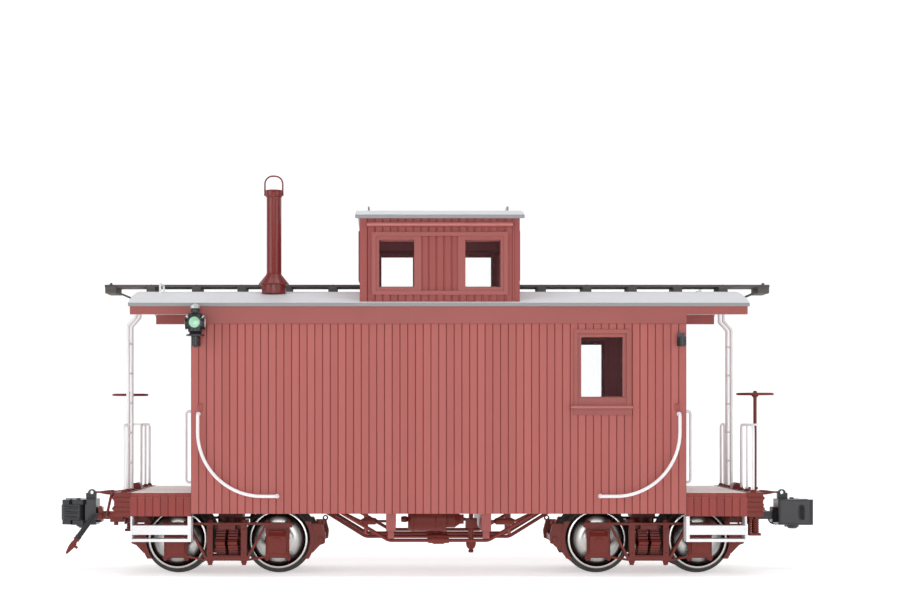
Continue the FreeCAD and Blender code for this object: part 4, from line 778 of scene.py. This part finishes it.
class CABOOSE_OT_smoke_jack(bpy.types.Operator):
    """Roll the smoke jack: pipe, seam, flashing cone, riveted collar, top band and bail"""
    bl_idname = "caboose.smoke_jack"
    bl_label = "Smoke jack"

    def execute(self, context):
        rivet_size = context.scene.caboose_sizes.rivet
        low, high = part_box("smoke_jack")
        centre = Vector(((low.x + high.x) / 2, (low.y + high.y) / 2, 0.0))
        shape = bmesh.new()
        wall = [(3.2, 138.0), (3.9, 138.0), (3.9, 150.0), (6.5, 150.0), (6.6, 150.4), (6.6, 154.7),
                (8.2, 154.9), (8.3, 155.3), (8.1, 155.7), (4.3, 160.4), (4.1, 161.0), (3.95, 161.6),
                (3.95, 202.4), (4.5, 202.6), (4.55, 203.0), (4.55, 205.9), (4.4, 206.3), (3.2, 206.3),
                (3.2, 138.0)]
        lathe(shape, raised(wall), centre, Z_WAY, steps=56)
        for level in (203.2, 205.7):
            hoop(shape, over(centre, level), Z_WAY, 4.5 * MM, 0.22 * MM, steps=40, sides=8)
        for index in range(14):
            way = spoke(index / 14)
            rivet(shape, over(centre, 153.4) + way * 6.6 * MM, way, rivet_size)
        for index in range(10):
            way = spoke((index + 0.5) / 10)
            rivet(shape, over(centre, 204.4) + way * 4.52 * MM, way, rivet_size * 0.8)
        seam = centre + Vector((3.9 * MM, 0, 0))
        bar(shape, [over(seam, 161.2), over(seam, 202.6)], 0.25 * MM, sides=8)
        top = high.z - 0.45 * MM
        foot = over(centre, 203.4).z
        bail = [(-4.85, foot), (-4.85, top), (4.85, top), (4.85, foot)]
        bar(shape, [centre + Vector((x * MM, 0, z)) for x, z in bail], 0.45 * MM, bend=4.3 * MM,
            arc_steps=14)
        for side in (-1, 1):
            nut(shape, centre + Vector((side * 4.9 * MM, 0, foot + 0.4 * MM)), Vector((side, 0, 0)),
                0.6 * MM, 0.3 * MM)
        publish("smoke_jack_rolled", shape, ("jack",), "car_body", ["smoke_jack"])
        return {"FINISHED"}


class CABOOSE_OT_hand_brakes(bpy.types.Operator):
    """Forge the hand brakes: wheel rim, five bowed spokes, hub nut, ribbed staff and ratchet"""
    bl_idname = "caboose.hand_brakes"
    bl_label = "Hand brakes"

    def execute(self, context):
        for end, _ in ENDS:
            node = f"brake_staff_{end}"
            centre = middle_of(node)
            low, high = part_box(node)
            rim = 0.66 * MM
            ring = (high.x - low.x) / 2 - rim
            hub = over(centre, 95.6)
            shape = bmesh.new()
            staff = [(0.95, 19.5), (1.9, 19.6), (1.9, 27.0), (0.95, 27.2), (0.95, 43.3), (1.5, 43.4),
                     (1.5, 44.6), (0.95, 44.7), (0.95, 93.4), (1.2, 94.0), (1.9, 94.4), (2.0, 95.6),
                     (1.7, 96.3), (1.0, 96.6)]
            turned = [(0, low.z), (0.95 * MM, low.z), *raised(staff), (1.0 * MM, high.z - 0.3 * MM),
                      (0.7 * MM, high.z), (0, high.z)]
            lathe(shape, turned, Vector((centre.x, centre.y, 0.0)), Z_WAY, steps=28)
            for index in range(6):
                hoop(shape, over(centre, 20.2 + index * 1.25), Z_WAY, 1.85 * MM, 0.45 * MM, steps=28,
                     sides=8)
            hoop(shape, hub, Z_WAY, ring, rim, steps=72, sides=12)
            bow = [Vector((1.2, 0, 0.1)) * MM, Vector((5.4, 0.9, -0.2)) * MM, Vector((ring, 0, 0))]
            for index in range(5):
                line = [hub + spoke(index / 5 + 0.05, start=step) for step in bow]
                bar(shape, line, 0.5 * MM, bend=3.0 * MM, sides=8, arc_steps=4)
            for index in range(12):
                seat = over(centre, 43.5) + spoke(index / 12) * 1.35 * MM
                disc(shape, seat, Z_WAY, 0.42 * MM, 1.0 * MM, sides=3)
            publish(f"hand_brake_{end}", shape, ("frame_red",), node, [node])
        return {"FINISHED"}


class CABOOSE_OT_doors(bpy.types.Operator):
    """Glaze and trim the two end doors, with hinge knuckles and panel mouldings"""
    bl_idname = "caboose.doors"
    bl_label = "Doors"

    def execute(self, context):
        for end, sign in ENDS:
            body = f"door_{end}"
            spot = at_end(sign)
            glass = bmesh.new()
            between(glass, spot(130.2, -9.5, 92.0), spot(130.6, 9.5, 121.0), 0)
            publish(f"door_glass_{end}", glass, ("glass",), body)
            trim = bmesh.new()
            for foot, head in ((48.0, 64.0), (68.0, 86.0), (92.0, 121.0)):
                for y0, y1, z0, z1 in ((-9.5, -8.8, foot, head), (8.8, 9.5, foot, head),
                                       (-8.8, 8.8, foot, foot + 0.7), (-8.8, 8.8, head - 0.7, head)):
                    between(trim, spot(130.6, y0, z0), spot(131.35, y1, z1))
            between(trim, spot(130.0, -0.6, 92.7), spot(131.2, 0.6, 120.3))
            for z in (54.0, 86.0, 118.0):
                disc(trim, spot(131.1, -14.2, z - 2.2), Z_WAY, 0.42 * MM, 4.4 * MM, sides=12)
            disc(trim, spot(131.2, 12.2, 88.5), Vector((sign, 0, 0)), 1.5 * MM, 0.35 * MM, sides=20)
            publish(f"door_trim_{end}", trim, ("body",), body)
        return {"FINISHED"}


class CABOOSE_OT_cupola_windows(bpy.types.Operator):
    """Glaze the sliding sashes of the cupola"""
    bl_idname = "caboose.cupola_windows"
    bl_label = "Cupola windows"

    def execute(self, context):
        thick = context.scene.caboose_sizes.glass
        frame_width = 2.3 * MM
        for side, sign in SIDES:
            for end, _ in ENDS:
                node = f"cupola_sash_{side}_{end}"
                low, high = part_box(node)
                y = sign * 52.4 * MM
                glass = bmesh.new()
                slab(glass, Vector((low.x + frame_width, y - thick / 2, low.z + frame_width)),
                     Vector((high.x - frame_width, y + thick / 2, high.z - frame_width)), 0)
                publish(f"sash_glass_{side}_{end}", glass, ("glass",), node)
        return {"FINISHED"}


class CABOOSE_OT_couplers(bpy.types.Operator):
    """Dress the couplers: ribbed knuckles, rounded noses, guard slots and lift links"""
    bl_idname = "caboose.couplers"
    bl_label = "Couplers"

    def execute(self, context):
        for end, sign in ENDS:
            spot = at_end(sign)
            ribs = bmesh.new()
            for z in (27.2, 30.0, 32.8):
                line = [spot(199.0, 9.0, z), spot(203.8, 9.1, z), spot(206.4, 8.3, z)]
                bar(ribs, line, 0.7 * MM, bend=2.0 * MM, sides=12, arc_steps=4)
            disc(ribs, spot(207.2, 6.2, 25.9), Z_WAY, 1.5 * MM, 8.2 * MM, sides=24)
            publish(f"knuckle_ribs_{end}", ribs, ("black",), f"knuckle_{end}")
            guard = bmesh.new()
            slot = [(203.9, -8.97, 30.05), (203.9, -8.97, 33.9), (201.1, -8.9, 33.9), (201.1, -8.9, 26.1),
                    (203.9, -8.97, 26.1), (203.9, -8.97, 29.95)]
            bar(guard, [spot(*place) for place in slot], 0.42 * MM, bend=1.3 * MM, sides=10, arc_steps=6)
            for z in (23.5, 36.8):
                bar(guard, [spot(190.2, -7.3, z), spot(206.3, -9.2, z)], 0.45 * MM, sides=10)
            disc(guard, spot(190.4, -7.0, 23.6), Z_WAY, 0.8 * MM, 13.1 * MM, sides=20)
            publish(f"coupler_guard_{end}", guard, ("black",), f"coupler_{end}")
            pocket = bmesh.new()
            between(pocket, spot(201.5, -8.6, 26.6), spot(203.5, -9.06, 33.4), 0.0004)
            publish(f"guard_pocket_{end}", pocket, ("shadow",), f"coupler_{end}")
            link = bmesh.new()
            bar(link, [spot(187.4, 0, 41.0), spot(190.9, 0, 41.0)], 0.5 * MM, sides=12)
            publish(f"lift_link_{end}", link, ("frame_red",), f"cut_lever_{end}")
        return {"FINISHED"}


class CABOOSE_OT_air_hoses(bpy.types.Operator):
    """Mould the air hoses, with clamps at the angle cocks and gladhands"""
    bl_idname = "caboose.air_hoses"
    bl_label = "Air hoses"

    def execute(self, context):
        hoses = bmesh.new()
        clamps = bmesh.new()
        clamp = metres([(1.4, -0.4), (1.75, -0.4), (1.75, 0.4), (1.4, 0.4), (1.4, -0.4)])
        routes = {-1: (3.4, ((187.0, 28.4), (189.2, 28.4), (197.9, 16.4))),
                  1: (2.3, ((187.0, 28.4), (189.0, 28.4), (191.0, 23.1), (194.4, 23.4)))}
        for sign, (bend, route) in routes.items():
            places = [at_end(sign)(x, HOSE_Y, z) for x, z in route]
            bar(hoses, places, 1.48 * MM, bend=bend * MM, sides=20)
            way = (places[-1] - places[-2]).normalized()
            lathe(clamps, clamp, places[-1] - way * 1.0 * MM, way, steps=24)
            lathe(clamps, clamp, places[0], Vector((sign, 0, 0)), steps=24)
        publish("hose_rubber_pair", hoses, ("rubber",), "car_body", ["air_hoses"])
        publish("hose_clamps", clamps, ("black",), "car_body")
        return {"FINISHED"}


class CABOOSE_OT_platform_fittings(bpy.types.Operator):
    """Bolt the railings, ladders, steps and end sills down"""
    bl_idname = "caboose.platform_fittings"
    bl_label = "Platform fittings"

    def execute(self, context):
        sizes = context.scene.caboose_sizes
        red = bmesh.new()
        white = bmesh.new()
        for _, sign in ENDS:
            spot = at_end(sign)
            outward = Vector((sign, 0, 0))
            for y in (39.0, 52.0, -16.0, -34.0, -52.0):
                foot = spot(167.6, y, DECK_TOP)
                disc(red, foot, Z_WAY, 1.7 * MM, 0.5 * MM, sides=20)
                disc(red, foot + Z_WAY * 0.5 * MM, Z_WAY, 1.35 * MM, 0.9 * MM, sides=20, tip=0.95 * MM)
                for dx in (-1.2, 1.2):
                    rivet(red, foot + Vector((dx, 0, 0.5)) * MM, Z_WAY, sizes.rivet * 0.7)
            for y in (19.0, 33.6):
                foot = spot(168.0, y, DECK_TOP)
                slab(red, foot - Vector((1.9, 1.3, 0)) * MM, foot + Vector((1.9, 1.3, 0.9)) * MM)
                nut(red, spot(SILL_FACE, y, 38.4), outward, sizes.nut * 0.8)
                nut(red, spot(SILL_FACE, -y, 35.0), outward, sizes.nut * 0.8)
            for y in (-48.0, 48.0):
                for z in (34.0, 39.6):
                    nut(red, at(sign * SILL_FACE, y, z), outward, sizes.nut * 0.85)
            for _, side in SIDES:
                out = Vector((0, side, 0))
                for x in (132.7, 162.9):
                    for z in (19.6, 23.0, 29.2):
                        rivet(white, at(sign * x, side * STEP_FACE, z), out, sizes.rivet * 0.9)
                for index in range(6):
                    seat = at(sign * (136.0 + index * 4.7), side * STEP_FACE, 24.5)
                    rivet(white, seat, out, sizes.rivet * 0.7)
        publish("platform_bolts", red, ("frame_red",), "car_body")
        publish("step_rivets", white, ("white",), "car_body")
        return {"FINISHED"}


class CABOOSE_OT_body_fittings(bpy.types.Operator):
    """Fix the grab irons' feet, hook plates, rounded sills, roof screws and tank bolts"""
    bl_idname = "caboose.body_fittings"
    bl_label = "Body fittings"

    def execute(self, context):
        sizes = context.scene.caboose_sizes
        feet, screws, plates, beads, tank = (bmesh.new() for _ in range(5))
        for _, end in ENDS:
            for _, side in SIDES:
                out = Vector((0, side, 0))
                for x, z in ((127.6, 84.6), (85.8, 41.0)):
                    disc(feet, at(end * x, side * SIDE_FACE, z), out, 1.2 * MM, 0.4 * MM, sides=20)
                between(plates, at(end * 125.3, side * SIDE_FACE, 86.0),
                        at(end * 127.9, side * 56.0, 90.4), 0.0006)
                for z in (87.0, 89.4):
                    rivet(plates, at(end * 126.6, side * 56.0, z), out, sizes.rivet)
                for z in (86.0, 48.0):
                    disc(feet, at(end * WALL_HALF, side * 45.0, z), Vector((end, 0, 0)), 1.4 * MM, 0.5 * MM,
                         sides=20)
            for index in range(5):
                for y in (-7.6, -1.4, 1.4, 7.6):
                    rivet(screws, at(end * (58.0 + index * 25.2), y, WALK_TOP), Z_WAY, sizes.rivet)
            for y in (-8.0, 8.0):
                nut(screws, at(end * 181.0, y, WALK_TOP), Z_WAY, sizes.nut * 0.5)
        rails = ((CUPOLA_MIDDLE - 38.7, CUPOLA_MIDDLE + 38.7, 56.55, 185.2, 1.15, 24),
                 (69.8, 103.0, 56.9, 88.25, 0.9, 20))
        for _, side in SIDES:
            for start, stop, y, z, radius, sides in rails:
                bar(beads, [at(start, side * y, z), at(stop, side * y, z)], radius * MM, sides=sides)
        # The sills wear the glossy red, whose lighter colour is painted highlight.
        publish("rounded_sills", beads, ("gloss",), "car_body")
        for x, ring, count in ((3.7, 6.3, 12), (-15.0, 5.6, 10)):
            for index in range(count):
                seat = at(x, *TANK_AXIS) + spoke(index / count, "X", Z_WAY) * ring * MM
                nut(tank, seat + X_WAY * 0.9 * MM, X_WAY, 0.55 * MM, 0.4 * MM)
        for x in (-12.8, -1.0):
            hoop(tank, at(x, *TANK_AXIS), X_WAY, 6.6 * MM, 0.28 * MM, steps=48, sides=8)
        publish("grab_iron_feet", feet, ("white",), "car_body")
        publish("hook_plates", plates, ("body",), "car_body")
        publish("running_board_screws", screws, ("walk",), "car_body")
        publish("brake_tank_bolts", tank, ("frame_red",), "car_body")
        return {"FINISHED"}


class CABOOSE_OT_stage(bpy.types.Operator):
    """Set out the pale floor, the soft lights and the camera"""
    bl_idname = "caboose.stage"
    bl_label = "Stage"

    def execute(self, context):
        self.set_floor(context)
        self.set_lights(context)
        self.set_camera(context)
        return {"FINISHED"}

    def set_floor(self, context):
        """A sweep: a flat floor that bends up into a wall behind the car."""
        half_width, front, back, bend, wall = 6.0, -4.0, 1.4, 0.8, 4.0
        shape = bmesh.new()
        first = shape.verts.new((-half_width, front, 0.0))
        second = shape.verts.new((half_width, front, 0.0))
        edge = shape.edges.new((first, second))
        flat = bmesh.ops.extrude_edge_only(shape, edges=[edge])
        verts, edges = verts_in(flat["geom"]), edges_in(flat["geom"])
        bmesh.ops.translate(shape, verts=verts, vec=(0, back - front, 0))
        curve = bmesh.ops.spin(shape, geom=verts + edges, cent=(0, back, bend), axis=(1, 0, 0),
                               angle=math.pi / 2, steps=24, use_merge=False, use_duplicate=False)
        upright = bmesh.ops.extrude_edge_only(shape, edges=edges_in(curve["geom_last"]))
        bmesh.ops.translate(shape, verts=verts_in(upright["geom"]), vec=(0, 0, wall))
        mesh = bpy.data.meshes.new("studio_floor")
        shape.to_mesh(mesh)
        shape.free()
        mesh.polygons.foreach_set("use_smooth", [True] * len(mesh.polygons))
        pale = Finish("studio_pale", Roughness=0.85, Emission_Strength=0.55)
        tint = pale.colour(pale.noise(2.0, 2.0), (0.90, 0.90, 0.90, 1.0), (0.93, 0.93, 0.93, 1.0))
        mesh.materials.append(pale.finished(Base_Color=tint, Emission_Color=tint))
        floor = bpy.data.objects.new("studio_floor", mesh)
        context.scene.collection.objects.link(floor)

    def set_lights(self, context):
        studio = context.scene.caboose_studio
        aim = at(0, 0, 95.0)
        lights = (("key_left", (-1.25, -0.95, 0.55), 0.9, 0.9, studio.key),
                  ("key_right", (1.25, -0.95, 0.55), 0.9, 0.9, studio.key * 0.8),
                  ("overhead", (0.0, -0.35, 1.5), 1.5, 0.3, studio.fill),
                  ("front_low", (0.0, -1.6, 0.12), 0.9, 0.5, studio.key * 0.8))
        for name, place, wide, tall, power in lights:
            data = bpy.data.lights.new(name, "AREA")
            data.shape = "RECTANGLE"
            data.size = wide
            data.size_y = tall
            data.energy = power
            lamp = bpy.data.objects.new(name, data)
            lamp.location = place
            lamp.rotation_mode = "QUATERNION"
            lamp.rotation_quaternion = (aim - Vector(place)).to_track_quat("-Z", "Y")
            context.scene.collection.objects.link(lamp)
        world = bpy.data.worlds.new("studio_air")
        world.use_nodes = True
        air = world.node_tree.nodes["Background"].inputs
        air["Color"].default_value = (0.90, 0.92, 0.95, 1.0)
        air["Strength"].default_value = 0.30
        context.scene.world = world
        context.scene.view_settings.view_transform = "Standard"

    def set_camera(self, context):
        studio = context.scene.caboose_studio
        data = bpy.data.cameras.new("catalogue_camera")
        data.lens = studio.lens
        data.sensor_width = 36.0
        data.shift_x = 0.0536
        data.shift_y = 0.13
        data.clip_end = 20.0
        camera = bpy.data.objects.new("catalogue_camera", data)
        camera.location = (-0.0196, -studio.distance, studio.height + RAIL)
        camera.rotation_euler = (math.pi / 2, 0, 0)
        context.scene.collection.objects.link(camera)
        context.scene.camera = camera


STEPS = (CABOOSE_OT_paint, CABOOSE_OT_wheelsets, CABOOSE_OT_trucks, CABOOSE_OT_marker_lamps,
         CABOOSE_OT_smoke_jack, CABOOSE_OT_hand_brakes, CABOOSE_OT_doors, CABOOSE_OT_cupola_windows,
         CABOOSE_OT_couplers, CABOOSE_OT_air_hoses, CABOOSE_OT_platform_fittings,
         CABOOSE_OT_body_fittings, CABOOSE_OT_stage)


class CABOOSE_PT_panel(bpy.types.Panel):
    """Lists the steps that dress the caboose."""
    bl_idname = "CABOOSE_PT_panel"
    bl_label = "Model Caboose"
    bl_space_type = "VIEW_3D"
    bl_region_type = "UI"
    bl_category = "Caboose"

    def draw(self, context):
        for held in GROUPS:
            group = getattr(context.scene, held)
            column = self.layout.column(align=True)
            for name in group.__annotations__:
                column.prop(group, name)
        for step in STEPS:
            self.layout.operator(step.bl_idname)


GROUPS = {"caboose_finish": CABOOSE_PG_finish, "caboose_sizes": CABOOSE_PG_sizes,
          "caboose_studio": CABOOSE_PG_studio}


def register():
    for name, group in GROUPS.items():
        bpy.utils.register_class(group)
        setattr(bpy.types.Scene, name, bpy.props.PointerProperty(type=group))
    for item in (*STEPS, CABOOSE_PT_panel):
        bpy.utils.register_class(item)


def unregister():
    for item in reversed((*STEPS, CABOOSE_PT_panel)):
        bpy.utils.unregister_class(item)
    for name, group in GROUPS.items():
        delattr(bpy.types.Scene, name)
        bpy.utils.unregister_class(group)


def main():
    register()
    for step in STEPS:
        family, name = step.bl_idname.split(".")
        getattr(getattr(bpy.ops, family), name)()


if __name__ == "__main__":
    main()
